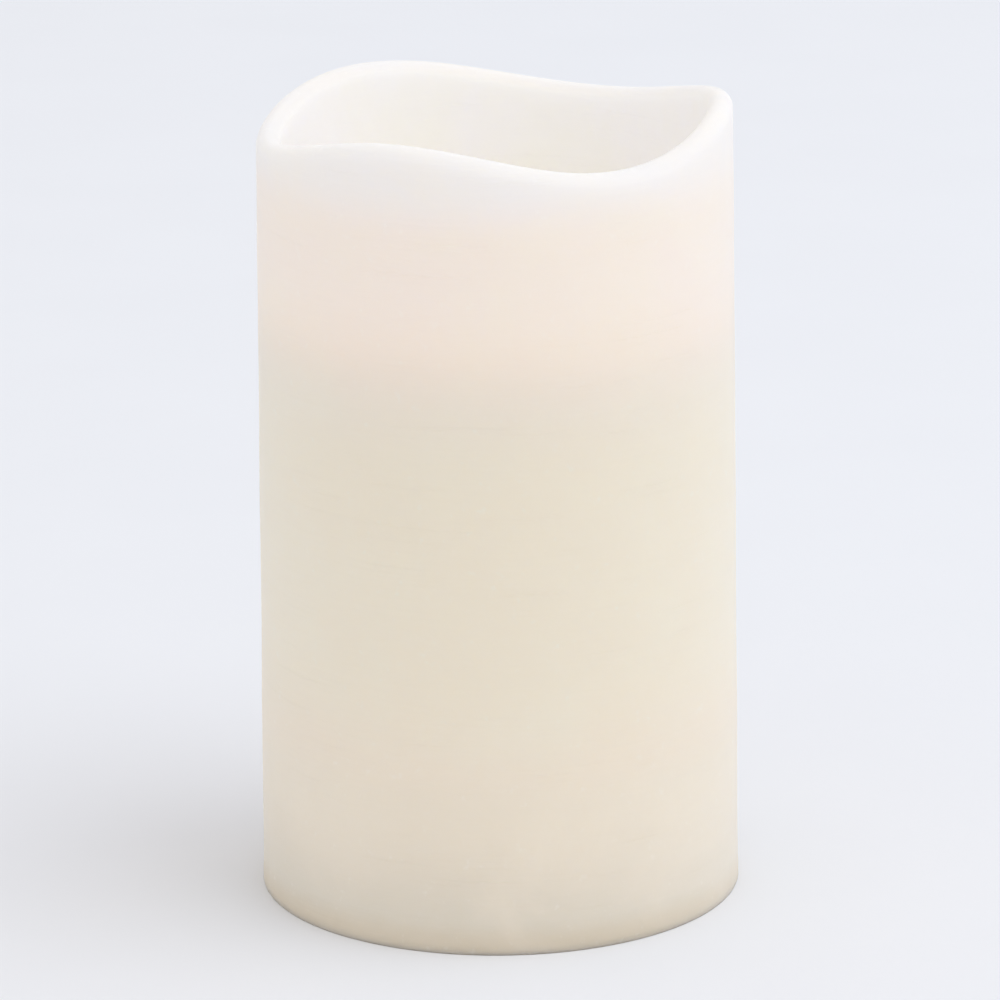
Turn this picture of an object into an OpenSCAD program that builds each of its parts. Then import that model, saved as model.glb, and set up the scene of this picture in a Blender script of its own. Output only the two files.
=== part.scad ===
// Flameless wax pillar candle with a wavy, melted-looking rim.
// A wax shell holds a moulded core with two upright AA cells, a timer board and an LED, a small
// flame-shaped bulb stands in the well, and the base plate has a hinged battery door and a
// three-position slide switch. Millimetres, +Z up, origin at the centre of the foot, on the table.

/* [Wax body] */
// Outer diameter at the foot
foot_d = 76; // [76:0.5:84]
// Outer diameter at the rim, smaller by the mould's draft
rim_d = 74; // [74:0.5:82]
// Mean height of the rim above the table
rim_z = 124.5; // [122:0.5:150]
// Thickness of the wax wall at the rim
lip_t = 4; // [3:0.1:5]
// Height of the floor of the well above the table
well_floor_z = 94; // [94:0.5:96]

/* [Rim wave] */
// Rise and fall of the three melted waves
wave_h = 2.4; // [0:0.1:3]
// Direction of one wave's peak, in degrees from +X
wave_turn = 4; // [0:1:119]
// Rise and fall of the slow tilt of the rim
tilt_h = 0.45; // [0:0.05:1]
// Direction of the tilt's high side
tilt_turn = -60; // [-180:1:180]
// Rise and fall of the uneven ripples
uneven_h = 0.25; // [0:0.05:0.6]
// Direction of the uneven ripples' peak
uneven_turn = -21; // [-90:1:90]

/* [Base] */
// Height of the base plate's underside above the table
base_inset = 1.2; // [1.2:0.1:1.6]
// Size of the battery door along X
door_w = 34; // [33:0.5:35]
// Opening angle shown, 0 is closed
door_angle = 0; // [0:5:95]
// Switch position shown: -1 timer, 0 off, 1 on
switch_position = 0; // [-1:1:1]

/* [Hidden] */
$fn = 64;
eps = 0.01;

// Wax body
foot_r = foot_d / 2;
rim_r = rim_d / 2;
wax_edge = 0.6;
wall_t = 4.4;
cavity_r = foot_r - wall_t;
cavity_top = 87;
well_draft = 0.4;
well_floor_r = rim_r - lip_t - well_draft;
well_fillet = 3;
bulb_hole_r = 8.2;
rim_split_z = rim_z - 8;
rim_steps = 120;
lip_steps = 9;
rim_tuck = 0.02;
bead_r = 4;
bead_ring_r = 20;
bead_angles = [90, 210, 330];

// Screws: radius and height of the head, radius of the thread and of the shank, length and pitch
base_screw = [2.5, 1.8, 1.35, 1.05, 11, 1];
holder_screw = [2.2, 1.6, 1.2, 0.9, 7, 1];
board_screw = [1.9, 1.3, 1, 0.72, 5, 0.8];
switch_screw = [1.8, 1.2, 0.95, 0.7, 3.2, 0.7];
// The holes they are driven into
base_pilot_r = 1.1;
holder_pilot_r = 0.95;
board_pilot_r = 0.8;
switch_pilot_r = 0.75;

// Base plate
plate_t = 2;
plate_r = cavity_r - 0.2;
plate_top = base_inset + plate_t;
skirt_t = 1.5;
skirt_top = 10;
slot_gap = 0.3;
stop_overlap = 0.9;
stop_reach = 1.5;
stop_half = 8;
stop_t = 1.2;
pocket_wall = 1.2;
pocket_top = 8.2;
pocket_y = 14.4;
post_r = 2.6;
ear_seat_r = 2.2;
recess_half = [7, 4];
recess_h = 2.5;
knob_slot_half = [4.1, 1.4];
nail_notch_end = 16.2;
nail_notch_h = 0.9;

// Battery door and its hinge
door_front_y = 11.2;
hinge_y = -11.2;
hinge_z = base_inset + 1.4;
barrel_r = 1.4;
barrel_w = 24;
trunnion_r = 0.8;
trunnion_w = 28;
hinge_ear_y = -13.4;
hinge_ear_half = 2;
hinge_ear_h = 1.4;
door_shoulder_y = -8.7;
door_corner_r = 1.5;
latch_w = 8;
latch_gap = 0.5;
latch_t = 1;
latch_back_y = 9.6;
latch_front_y = 13.4;
latch_top = 7.2;
rib_pitch = 1.5;
rib_w = 0.6;
rib_h = 0.3;

// Cells, AA size
cell_r = 7;
wrap_t = 0.1;
can_l = 49.2;
nub_r = 2.75;
cell_l = 50.5;
cell_x = 8;
bay_r = 7.5;
contact_t = 0.3;
dimple_h = 0.5;
spring_h = 4.5;
spring_wire_r = 0.35;
spring_foot_r = 4.6;
spring_top_r = 2.5;
spring_turns = 4;
spring_rings = 72;
strip_size = [26, 7];
dimple_foot_r = 2.4;
dimple_top_r = 1.6;
contact_r = 6.2;

// Battery holder
holder_wall = 1.5;
holder_r = bay_r + holder_wall;
holder_z = 4.6;
bay_top = plate_top + contact_t + spring_h + cell_l + dimple_h + contact_t;
deck_z = bay_top + 1.7;
ear_x = 20.5;
ear_z = 9.2;
ear_t = 2;
ear_r = 3;
ear_hole_r = 1.4;
tab_y = 4.45;
tab_w = 2.4;
standoff_x = 14;
standoff_h = 4;
standoff_r = 2.2;

// Core shell
core_r = plate_r - skirt_t - 0.2;
core_t = 1.4;
core_draft = 0.7;
core_top = cavity_top - 1;
neck_r = 7.8;
neck_bore_r = 6.4;
neck_top = well_floor_z + 1;
screw_ring_r = 25.5;
screw_angles = [30, 150, 270];
cup_top = 8.2;
cup_r = 4;
cup_bore_r = 2.8;
cup_hole_r = 1.5;
cup_floor_t = 2;
boss_r = 3.2;
boss_top = 24;
boss_rib_half = 1;

// Slide switch
switch_y = 22;
switch_travel = 2;
symbol_y = switch_y + 6.8;
symbol_depth = 0.3;
switch_seat_z = plate_top + 2;
switch_seat_half = [8.2, 5.2];
can_size = [13, 6.6, 4];
can_t = 0.4;
can_slot_half = [4, 1.3];
can_hole_r = 1.1;
ear_hole_x = 9;
terminal_pitch = 4;
terminal_top = 12;
terminal_half = [0.6, 0.25];
contact_half = [1.2, 1];
insulator_t = 0.8;
insulator_step = 0.6;
stem_half = [1.8, 1.1];
slider_half = [3.4, 2.4];
slider_top = 2.75;
wiper_half = [2.6, 1.2];

// Stations of one switch wire: distance from the axis along +Y, and height
wire_route = [
    [22, 12], [22, 17], [20.5, 25], [14.5, 36], [12.4, 48], [12.2, 60],
    [11.8, 67], [10.6, 71], [8.8, 71.5], [8, 69], [8, 66]
];
wire_gap = 0.05;
wire_rings = 26;
wire_r = 0.65;
wire_pad_y = 8;
sleeve_r = 1.2;
sleeve_bore_r = 0.9;

// Board and light
board_z = deck_z + standoff_h;
board_t = 1.2;
board_size = [34, 20];
board_top = board_z + board_t;
board_hole_r = 1.2;
chip_place = [-7.5, -4.8];
crystal_place = [8, -7.9];
crystal_r = 1.3;
crystal_l = 6;
crystal_z = 1.35;
crystal_lead_r = 0.2;
resistor_places = [[-11.2, 7.4], [6.6, -4.4]];
resistor_r = 1.1;
resistor_l = 5.6;
resistor_z = 1.2;
resistor_lead_r = 0.3;
resistor_reach = 4.4;
capacitor_place = [13, 6.4];
solder_h = 0.6;
led_z = well_floor_z - 6;
led_r = 2.5;
led_rim_r = 2.9;
led_l = 6;
lead_x = 1.27;
lead_w = 0.5;
lead_hole_r = 0.45;
spacer_r = 3.6;
bulb_r = 5.8;
bulb_top = well_floor_z + 17;
bulb_wall = 0.9;
bulb_mouth_r = 4.2;
bulb_flange_t = 1.2;
collar_r = 10;
collar_hole_r = 5.9;

// ---- Shared shapes ----

module rounded_rect(size, r) {
    square([size[0] - 2 * r, size[1]], center = true);
    square([size[0], size[1] - 2 * r], center = true);
    for (x = [-1, 1], y = [-1, 1])
        translate([x * (size[0] / 2 - r), y * (size[1] / 2 - r)])
            circle(r);
}

// A rounded rectangle standing from height z0 to z1.
module slab(size, r, z0, z1) {
    translate([0, 0, z0])
        linear_extrude(z1 - z0)
            rounded_rect(size, r);
}

// A box given by its lowest and highest corners.
module block(low, high) {
    translate(low)
        cube(high - low);
}

module disc(r, z0, z1) {
    translate([0, 0, z0])
        cylinder(r = r, h = z1 - z0);
}

module ring(outer, inner, z0, z1) {
    difference() {
        disc(outer, z0, z1);
        disc(inner, z0 - 1, z1 + 1);
    }
}

module at_screws() {
    for (a = screw_angles)
        rotate(a)
            translate([screw_ring_r, 0, 0])
                children();
}

module both_sides(x) {
    for (side = [-1, 1])
        translate([side * x, 0, 0])
            children();
}

// A pan-head self-tapping screw with its head's seat at the origin and its point towards -Z.
// Rings stand for the turns of its thread.
module screw(size) {
    head_r = size[0];
    head_h = size[1];
    thread_r = size[2];
    shank_r = size[3];
    length = size[4];
    pitch = size[5];
    tip_l = 0.9;
    turns = floor((length - tip_l - 0.6) / pitch);
    profile = concat(
        [[0, head_h], [head_r * 0.75, head_h], [head_r, head_h * 0.55], [head_r, 0], [shank_r, 0]],
        [for (i = [0:turns - 1], step = [0:2])
            [step == 1 ? thread_r : shank_r, -0.4 - pitch * (i + step / 3)]],
        [[shank_r, tip_l - length], [0, -length]]
    );
    difference() {
        rotate_extrude()
            polygon(profile);
        for (turn = [0, 90])
            rotate(turn)
                translate([0, 0, head_h])
                    cube([head_r * 1.15, head_r * 0.26, head_h], center = true);
    }
}

function unit(v) = v / norm(v);

// A point on the smooth curve through a list of points, at t counted in spans.
function curve_point(points, t) =
    let (
        last = len(points) - 1,
        i = min(floor(t), last - 1),
        u = t - i,
        a = points[max(i - 1, 0)],
        b = points[i],
        c = points[i + 1],
        d = points[min(i + 2, last)]
    )
    0.5 * (2 * b + (c - a) * u + (2 * a - 5 * b + 4 * c - d) * u * u
        + (3 * b - a - 3 * c + d) * u * u * u);

function smooth_path(points, rings) =
    [for (i = [0:rings - 1]) curve_point(points, i * (len(points) - 1) / (rings - 1))];

function path_direction(path, i) =
    unit(path[min(i + 1, len(path) - 1)] - path[max(i - 1, 0)]);

// A round tube swept along a path. The side vector is never along the path.
module tube(path, r, side, sides = 8) {
    rings = len(path);
    points = [
        for (i = [0:rings - 1])
            let (
                forward = path_direction(path, i),
                across = unit(cross(forward, side)),
                up = cross(across, forward)
            )
            for (k = [0:sides - 1])
                path[i] + r * (across * cos(k * 360 / sides) + up * sin(k * 360 / sides))
    ];
    walls = [
        for (i = [0:rings - 2], k = [0:sides - 1])
            let (next = (k + 1) % sides)
            [i * sides + k, i * sides + next, (i + 1) * sides + next, (i + 1) * sides + k]
    ];
    start_cap = [for (k = [sides - 1:-1:0]) k];
    end_cap = [for (k = [0:sides - 1]) (rings - 1) * sides + k];
    polyhedron(points, concat(walls, [start_cap, end_cap]), convexity = 6);
}

// ---- Wax body ----

function rim_height(a) =
    rim_z + wave_h * cos(3 * (a - wave_turn)) + tilt_h * cos(a - tilt_turn)
    + uneven_h * (cos(2 * (a - uneven_turn)) + cos(4 * (a - uneven_turn)));

function wall_outer_r(z) = foot_r + (rim_r - foot_r) * z / rim_z;

function wall_inner_r(z) =
    well_floor_r + (rim_r - lip_t - well_floor_r) * (z - well_floor_z) / (rim_z - well_floor_z);

function arc(centre, r, from, to, steps) =
    [for (i = [0:steps]) let (a = from + (to - from) * i / steps) centre + r * [cos(a), sin(a)]];

function lip_profile(a) =
    let (
        outer = wall_outer_r(rim_height(a)) - rim_tuck,
        inner = wall_inner_r(rim_height(a)) + rim_tuck,
        r = (outer - inner) / 2,
        foot_z = rim_split_z - 0.5
    )
    concat(
        [
            [wall_inner_r(foot_z) + rim_tuck, foot_z],
            [wall_outer_r(foot_z) - rim_tuck, foot_z]
        ],
        arc([(outer + inner) / 2, rim_height(a) - r], r, 0, 180, lip_steps)
    );

// The rounded, waving lip, which stands on the plain part of the wall.
module wavy_lip() {
    count = lip_steps + 3;
    points = [
        for (i = [0:rim_steps - 1])
            let (a = i * 360 / rim_steps)
            for (p = lip_profile(a)) [p[0] * cos(a), p[0] * sin(a), p[1]]
    ];
    faces = [
        for (i = [0:rim_steps - 1], k = [0:count - 1])
            let (next = (k + 1) % count, turn = ((i + 1) % rim_steps) * count)
            [i * count + k, i * count + next, turn + next, turn + k]
    ];
    polyhedron(points, faces, convexity = 8);
}

module wax_shell() {
    profile = concat(
        [[cavity_r + wax_edge, 0]],
        arc([foot_r - wax_edge, wax_edge], wax_edge, -90, 0, 5),
        [
            [wall_outer_r(rim_split_z), rim_split_z],
            [wall_inner_r(rim_split_z), rim_split_z]
        ],
        arc([well_floor_r - well_fillet, well_floor_z + well_fillet], well_fillet, 0, -90, 6),
        [
            [bulb_hole_r + wax_edge, well_floor_z],
            [bulb_hole_r, well_floor_z - wax_edge],
            [bulb_hole_r, cavity_top],
            [cavity_r, cavity_top],
            [cavity_r, wax_edge]
        ]
    );
    color("ivory") {
        rotate_extrude()
            polygon(profile);
        wavy_lip();
    }
}

// Hot-melt beads that hold the core up against the underside of the well floor.
module glue_beads() {
    color("lightgoldenrodyellow")
        for (a = bead_angles)
            rotate(a)
                translate([bead_ring_r, 0, 0])
                    disc(bead_r, core_top, cavity_top);
}

// ---- Core ----

module core_shell() {
    inner_r = core_r - core_t;
    color("whitesmoke") {
        difference() {
            translate([0, 0, plate_top])
                cylinder(r1 = core_r, r2 = core_r - core_draft, h = core_top - plate_top);
            translate([0, 0, plate_top - eps])
                cylinder(r1 = inner_r, r2 = inner_r - core_draft, h = core_top - plate_top - core_t);
            disc(neck_bore_r, core_top - 5, core_top + 5);
        }
        ring(neck_r, neck_bore_r, core_top - core_t, neck_top);
        difference() {
            at_screws() {
                disc(boss_r, cup_top, boss_top);
                // Rib from the boss out to the wall.
                block(
                    [boss_r - 0.7, -boss_rib_half, cup_top],
                    [inner_r - screw_ring_r + 0.5, boss_rib_half, boss_top]
                );
            }
            at_screws()
                disc(base_pilot_r, cup_top - 1, boss_top - 3);
        }
    }
}

// ---- Base plate ----

module switch_symbols() {
    low = -symbol_depth;
    high = symbol_depth;
    // Bar for on.
    translate([terminal_pitch, symbol_y, base_inset])
        block([-0.25, -1.1, low], [0.25, 1.1, high]);
    // Ring for off.
    translate([0, symbol_y, base_inset])
        ring(1.2, 0.75, low, high);
    // Clock face for the timer.
    translate([-terminal_pitch, symbol_y, base_inset]) {
        ring(1.3, 1, low, high);
        block([-0.15, -0.15, low], [0.15, 0.8, high]);
        block([-0.15, -0.15, low], [0.65, 0.15, high]);
    }
}

module door_opening() {
    side = door_w / 2 + slot_gap;
    knuckle = barrel_w / 2 + slot_gap;
    low = base_inset - 1;
    high = plate_top + 1;
    block([-side, door_shoulder_y - 0.5, low], [side, door_front_y + slot_gap, high]);
    block([-knuckle, hinge_y - barrel_r - slot_gap, low], [knuckle, 0, high]);
    block([-latch_w / 2 - latch_gap, 0, low], [latch_w / 2 + latch_gap, pocket_y, high]);
}

// Shelves over the ends of the door, which stop it when it closes.
module door_stops() {
    for (side = [0, 180])
        rotate(side)
            block(
                [door_w / 2 - stop_overlap, -stop_half, plate_top],
                [door_w / 2 + stop_reach, stop_half, plate_top + stop_t]
            );
}

module latch_pocket() {
    half = latch_w / 2 + latch_gap;
    difference() {
        block(
            [-half - pocket_wall, door_front_y + slot_gap, plate_top - eps],
            [half + pocket_wall, pocket_y + pocket_wall, pocket_top + pocket_wall]
        );
        block([-half, 0, 0], [half, pocket_y, pocket_top]);
    }
}

module hinge_ears() {
    both_sides(barrel_w / 2 + slot_gap + hinge_ear_half)
        block(
            [-hinge_ear_half, hinge_ear_y, plate_top - eps],
            [hinge_ear_half, door_shoulder_y - 0.5, plate_top + hinge_ear_h]
        );
}

// Raised seats for the switch, the holder and the screws' cups.
module base_posts() {
    translate([0, switch_y, 0]) {
        block(
            [-switch_seat_half[0], -switch_seat_half[1], base_inset],
            [switch_seat_half[0], switch_seat_half[1], switch_seat_z]
        );
        both_sides(ear_hole_x)
            disc(ear_seat_r, base_inset, switch_seat_z);
    }
    both_sides(ear_x)
        disc(post_r, base_inset, ear_z);
    at_screws()
        disc(cup_r, base_inset, cup_top);
}

// Finger recess around the switch knob, the knob's slot and the switch's screw holes.
module switch_openings() {
    translate([0, switch_y, 0]) {
        block(
            [-recess_half[0], -recess_half[1], base_inset - 1],
            [recess_half[0], recess_half[1], base_inset + recess_h]
        );
        block(
            [-knob_slot_half[0], -knob_slot_half[1], 0],
            [knob_slot_half[0], knob_slot_half[1], switch_seat_z + 1]
        );
        both_sides(ear_hole_x)
            disc(switch_pilot_r, base_inset + 0.8, switch_seat_z + 1);
    }
}

module hinge_bore() {
    translate([-trunnion_w / 2 - 0.4, hinge_y, hinge_z])
        rotate([0, 90, 0])
            cylinder(r = trunnion_r + 0.05, h = trunnion_w + 0.8);
}

// Notch for a fingernail beside the door's latch.
module nail_notch() {
    half = latch_w / 2 + latch_gap;
    block([-half, pocket_y - 0.1, base_inset - 1], [half, nail_notch_end, base_inset + nail_notch_h]);
}

module base_plate() {
    color("ivory") {
        difference() {
            union() {
                disc(plate_r, base_inset, plate_top);
                ring(plate_r, plate_r - skirt_t, plate_top - eps, skirt_top);
                hinge_ears();
                base_posts();
            }
            door_opening();
            hinge_bore();
            switch_openings();
            both_sides(ear_x)
                disc(holder_pilot_r, plate_top + 0.4, ear_z + 1);
            at_screws() {
                disc(cup_bore_r, base_inset - 1, cup_top - cup_floor_t);
                disc(cup_hole_r, 0, cup_top + 1);
            }
            nail_notch();
            switch_symbols();
        }
        door_stops();
        latch_pocket();
    }
}

module base_screws() {
    color("silver")
        at_screws()
            translate([0, 0, cup_top - cup_floor_t])
                rotate([180, 0, 0])
                    screw(base_screw);
}

// ---- Battery door, hinged at its back edge ----

module door_pose() {
    translate([0, hinge_y, hinge_z])
        rotate([-door_angle, 0, 0])
            translate([0, -hinge_y, -hinge_z])
                children();
}

module door_latch() {
    half = latch_w / 2;
    // A folded tongue that stands in its pocket: two legs, the bend and a tooth.
    block([-half, latch_back_y, plate_top - eps], [half, latch_back_y + latch_t, latch_top]);
    block([-half, latch_back_y, latch_top - latch_t], [half, latch_front_y, latch_top]);
    block([-half, latch_front_y - latch_t, base_inset + 0.4], [half, latch_front_y, latch_top]);
    block([1 - half, latch_front_y - 0.1, plate_top + 0.3], [half - 1, pocket_y - 0.2, plate_top + 1.1]);
    // Grip ribs behind the tongue.
    for (i = [1:3])
        translate([0, latch_back_y + 0.5 - rib_pitch * i, base_inset])
            block([-half, 0, -rib_h], [half, rib_w, eps]);
}

// Sunk plus and minus signs on the door's inner face, beside each cell's lower end.
module polarity_signs() {
    arm = [3.4, 0.8, 0.6];
    translate([-cell_x, 6.8, plate_top])
        cube(arm, center = true);
    translate([cell_x, 6.8, plate_top])
        for (turn = [0, 90])
            rotate(turn)
                cube(arm, center = true);
}

module battery_door() {
    plate_d = door_front_y - door_shoulder_y;
    color("ivory")
        door_pose() {
            difference() {
                translate([0, (door_front_y + door_shoulder_y) / 2, 0])
                    slab([door_w, plate_d], door_corner_r, base_inset, plate_top);
                polarity_signs();
            }
            block(
                [-barrel_w / 2, hinge_y, base_inset],
                [barrel_w / 2, door_shoulder_y + 3, plate_top]
            );
            translate([-barrel_w / 2, hinge_y, hinge_z])
                rotate([0, 90, 0])
                    cylinder(r = barrel_r, h = barrel_w);
            translate([-trunnion_w / 2, hinge_y, hinge_z])
                rotate([0, 90, 0])
                    cylinder(r = trunnion_r, h = trunnion_w);
            door_latch();
        }
}

// Bridge strip on the door's inner face, with a dimple under the second cell's nub.
module door_contact() {
    color("silver")
        door_pose() {
            slab(strip_size, 2, plate_top, plate_top + contact_t);
            translate([cell_x, 0, plate_top + contact_t - eps])
                cylinder(r1 = dimple_foot_r, r2 = dimple_top_r, h = dimple_h + eps);
        }
}

// A conical contact spring standing from z = 0 to spring_h, with a flat turn at each end.
module contact_spring() {
    flat = 0.18;
    low = spring_wire_r;
    high = spring_h - spring_wire_r;
    path = [
        for (i = [0:spring_rings])
            let (
                u = i / spring_rings,
                a = 360 * spring_turns * u,
                climb = min(max((u - flat) / (1 - 2 * flat), 0), 1),
                r = spring_foot_r + (spring_top_r - spring_foot_r) * u
            )
            [r * cos(a), r * sin(a), low + (high - low) * climb]
    ];
    tube(path, spring_wire_r, [0, 0, 1], 6);
}

module door_spring() {
    color("lightgray")
        door_pose()
            translate([-cell_x, 0, plate_top + contact_t])
                contact_spring();
}

// ---- Cells ----

// A cell's steel can with its negative end at z = 0 and its nub on top.
module cell_can() {
    rotate_extrude()
        polygon([
            [0, 0.3], [4.6, 0.3], [5, 0], [6.5, 0], [cell_r, 0.5], [cell_r, can_l - 0.9],
            [cell_r - 0.5, can_l - 0.3], [5.4, can_l - 0.3], [5, can_l - 0.7], [nub_r + 0.6, can_l - 0.7],
            [nub_r, can_l - 0.2], [nub_r, cell_l - 0.4], [nub_r - 0.4, cell_l], [0, cell_l]
        ]);
}

module cell_wrap() {
    ring(cell_r + wrap_t, cell_r, 0.7, can_l - 1.1);
}

module first_cell_pose() {
    translate([-cell_x, 0, plate_top + contact_t + spring_h])
        children();
}

// The second cell stands nub down.
module second_cell_pose() {
    translate([cell_x, 0, plate_top + contact_t + dimple_h + cell_l])
        rotate([180, 0, 0])
            children();
}

module battery_1_can() { color("silver") first_cell_pose() cell_can(); }
module battery_1_wrap() { color("darkslategray") first_cell_pose() cell_wrap(); }
module battery_2_can() { color("silver") second_cell_pose() cell_can(); }
module battery_2_wrap() { color("darkslategray") second_cell_pose() cell_wrap(); }

// ---- Battery holder and its contacts ----

module twin(r, z0, z1) {
    both_sides(cell_x)
        disc(r, z0, z1);
}

module battery_holder() {
    color("whitesmoke")
        difference() {
            union() {
                twin(holder_r, holder_z, deck_z);
                block([-cell_x, -holder_r, holder_z], [cell_x, holder_r, deck_z]);
                both_sides(ear_x)
                    disc(ear_r, ear_z, ear_z + ear_t);
                block([-ear_x, -ear_r, ear_z], [ear_x, ear_r, ear_z + ear_t]);
                both_sides(standoff_x)
                    disc(standoff_r, deck_z - 1, board_z);
            }
            twin(bay_r, 0, bay_top);
            both_sides(ear_x)
                disc(ear_hole_r, 0, deck_z);
            both_sides(standoff_x)
                disc(board_pilot_r, deck_z - 0.6, board_z + 1);
            both_sides(cell_x)
                translate([0, tab_y, bay_top])
                    cube([tab_w + 0.4, 0.7, 6], center = true);
        }
}

module holder_screws() {
    color("silver")
        both_sides(ear_x)
            translate([0, 0, ear_z + ear_t])
                screw(holder_screw);
}

// A round contact under the deck with a solder tab that rises through the board.
module top_contact() {
    disc(contact_r, bay_top - contact_t, bay_top);
    translate([-tab_w / 2, tab_y - contact_t / 2, bay_top - contact_t])
        cube([tab_w, contact_t, board_top - bay_top + contact_t + 0.8]);
}

module positive_contact() {
    color("silver")
        translate([-cell_x, 0, 0]) {
            top_contact();
            translate([0, 0, bay_top - contact_t - dimple_h])
                cylinder(r1 = dimple_top_r, r2 = dimple_foot_r, h = dimple_h + eps);
        }
}

module negative_contact() {
    color("silver")
        translate([cell_x, 0, 0])
            top_contact();
}

module negative_spring() {
    color("lightgray")
        translate([cell_x, 0, bay_top - contact_t])
            mirror([0, 0, 1])
                contact_spring();
}

// ---- Slide switch ----

module at_switch() {
    translate([0, switch_y, switch_seat_z])
        children();
}

module at_terminals() {
    for (i = [-1:1])
        translate([i * terminal_pitch, 0, 0])
            children();
}

module switch_can() {
    half = [can_size[0] / 2, can_size[1] / 2, 0];
    color("gainsboro")
        at_switch()
            difference() {
                union() {
                    block(-half, half + [0, 0, can_size[2]]);
                    slab([2 * ear_hole_x + 4, 4.4], 1.5, 0, can_t);
                }
                block(
                    [-half[0] + can_t, -half[1] + can_t, can_t],
                    [half[0] - can_t, half[1] - can_t, can_size[2] + 1]
                );
                block(
                    [-can_slot_half[0], -can_slot_half[1], -1],
                    [can_slot_half[0], can_slot_half[1], 1]
                );
                both_sides(ear_hole_x)
                    disc(can_hole_r, -1, 1);
            }
}

module switch_insulator() {
    half = [can_size[0] / 2, can_size[1] / 2];
    inner = half - [can_t + 0.1, can_t + 0.1];
    top = can_size[2] + insulator_t;
    color("saddlebrown")
        at_switch()
            difference() {
                union() {
                    block([-inner[0], -inner[1], can_size[2] - insulator_step], [inner[0], inner[1], top]);
                    block([-half[0], -half[1], can_size[2]], [half[0], half[1], top]);
                }
                at_terminals()
                    cube([1.3, 0.6, 20], center = true);
            }
}

module switch_terminals() {
    face_z = can_size[2] - insulator_step;
    color("silver")
        at_switch()
            at_terminals() {
                block(
                    [-contact_half[0], -contact_half[1], face_z - contact_t],
                    [contact_half[0], contact_half[1], face_z]
                );
                block(
                    [-terminal_half[0], -terminal_half[1], face_z - 0.1],
                    [terminal_half[0], terminal_half[1], terminal_top - switch_seat_z]
                );
            }
}

module switch_screws() {
    color("silver")
        at_switch()
            both_sides(ear_hole_x)
                translate([0, 0, can_t])
                    screw(switch_screw);
}

module knob_pose() {
    translate([switch_position * switch_travel, 0, 0])
        at_switch()
            children();
}

module switch_knob() {
    tip = base_inset + 0.4 - switch_seat_z;
    color("dimgray")
        knob_pose() {
            block([-stem_half[0], -stem_half[1], tip], [stem_half[0], stem_half[1], 1]);
            // Ribs across the tip for a fingernail.
            for (i = [-1:1])
                translate([1.1 * i, 0, tip])
                    block([-0.25, -stem_half[1], -0.3], [0.25, stem_half[1], eps]);
            block(
                [-slider_half[0], -slider_half[1], can_t + 0.1],
                [slider_half[0], slider_half[1], slider_top]
            );
        }
}

module switch_wiper() {
    top = can_size[2] - insulator_step - contact_t - 0.05;
    color("goldenrod")
        knob_pose()
            block([-wiper_half[0], -wiper_half[1], slider_top], [wiper_half[0], wiper_half[1], top]);
}

// ---- Wiring from the switch to the board ----

// Each wire wanders a little sideways between its terminal and its pad, and is straight at both.
module wire(terminal, wander) {
    last = len(wire_route) - 1;
    points = [
        for (i = [0:last])
            let (
                z = i == 0 ? terminal_top + wire_gap : i == last ? board_top + wire_gap : wire_route[i][1],
                aside = wander * max(0, sin(180 * (i - 1) / (last - 2)))
            )
            [terminal * terminal_pitch + aside, wire_route[i][0], z]
    ];
    tube(smooth_path(points, wire_rings), wire_r, [1, 0, 0]);
}

module wire_sleeves() {
    color("black")
        translate([0, switch_y, 0])
            at_terminals()
                ring(sleeve_r, sleeve_bore_r, terminal_top - 1.6, terminal_top + 3);
}

module wire_timer() { color("gold") wire(-1, -1.6); }
module wire_common() { color("black") wire(0, 0.7); }
module wire_on() { color("red") wire(1, 2.2); }

// ---- Timer board ----

module circuit_board() {
    color("forestgreen")
        difference() {
            slab(board_size, 1.5, board_z, board_top);
            both_sides(standoff_x)
                disc(board_hole_r, board_z - 1, board_top + 1);
            both_sides(cell_x)
                translate([0, tab_y, board_z])
                    cube([tab_w + 0.3, 0.6, 6], center = true);
            both_sides(lead_x)
                disc(lead_hole_r, board_z - 1, board_top + 1);
        }
}

module board_screws() {
    color("silver")
        both_sides(standoff_x)
            translate([0, 0, board_top])
                screw(board_screw);
}

// The timer chip under its black epoxy drop.
module controller_chip() {
    drop_r = 3.4;
    drop_h = 1.4;
    ball_r = (drop_r * drop_r + drop_h * drop_h) / (2 * drop_h);
    color("black")
        translate([chip_place[0], chip_place[1], board_top])
            intersection() {
                translate([0, 0, drop_h - ball_r])
                    sphere(ball_r);
                disc(drop_r + 1, 0, drop_h + 1);
            }
}

module lying_cylinder(r, length) {
    rotate([0, 90, 0])
        translate([0, 0, -length / 2])
            cylinder(r = r, h = length);
}

// Two leads bent down from a lying component's ends into the board.
module bent_leads(reach, height, r) {
    translate([0, 0, height])
        lying_cylinder(r, 2 * reach);
    both_sides(reach - r)
        disc(r, 0, height);
}

module timer_crystal() {
    color("lightgray")
        translate([crystal_place[0], crystal_place[1], board_top]) {
            translate([0, 0, crystal_z])
                lying_cylinder(crystal_r, crystal_l);
            for (y = [-0.5, 0.5])
                translate([-crystal_l / 2, y, 0]) {
                    translate([-0.5, 0, crystal_z])
                        lying_cylinder(crystal_lead_r, 1.4);
                    translate([-1, 0, 0])
                        disc(crystal_lead_r, 0, crystal_z);
                }
        }
}

module resistors() {
    color("tan")
        for (place = resistor_places)
            translate([place[0], place[1], board_top]) {
                translate([0, 0, resistor_z])
                    lying_cylinder(resistor_r, resistor_l);
                bent_leads(resistor_reach, resistor_z, resistor_lead_r);
            }
}

module capacitor() {
    color("midnightblue")
        translate([capacitor_place[0], capacitor_place[1], board_top])
            rotate_extrude()
                polygon([
                    [0, 0], [2.2, 0], [2.5, 0.3], [2.5, 0.9], [2.3, 1.2], [2.5, 1.5],
                    [2.5, 6.7], [2.2, 7], [0, 7]
                ]);
}

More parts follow.
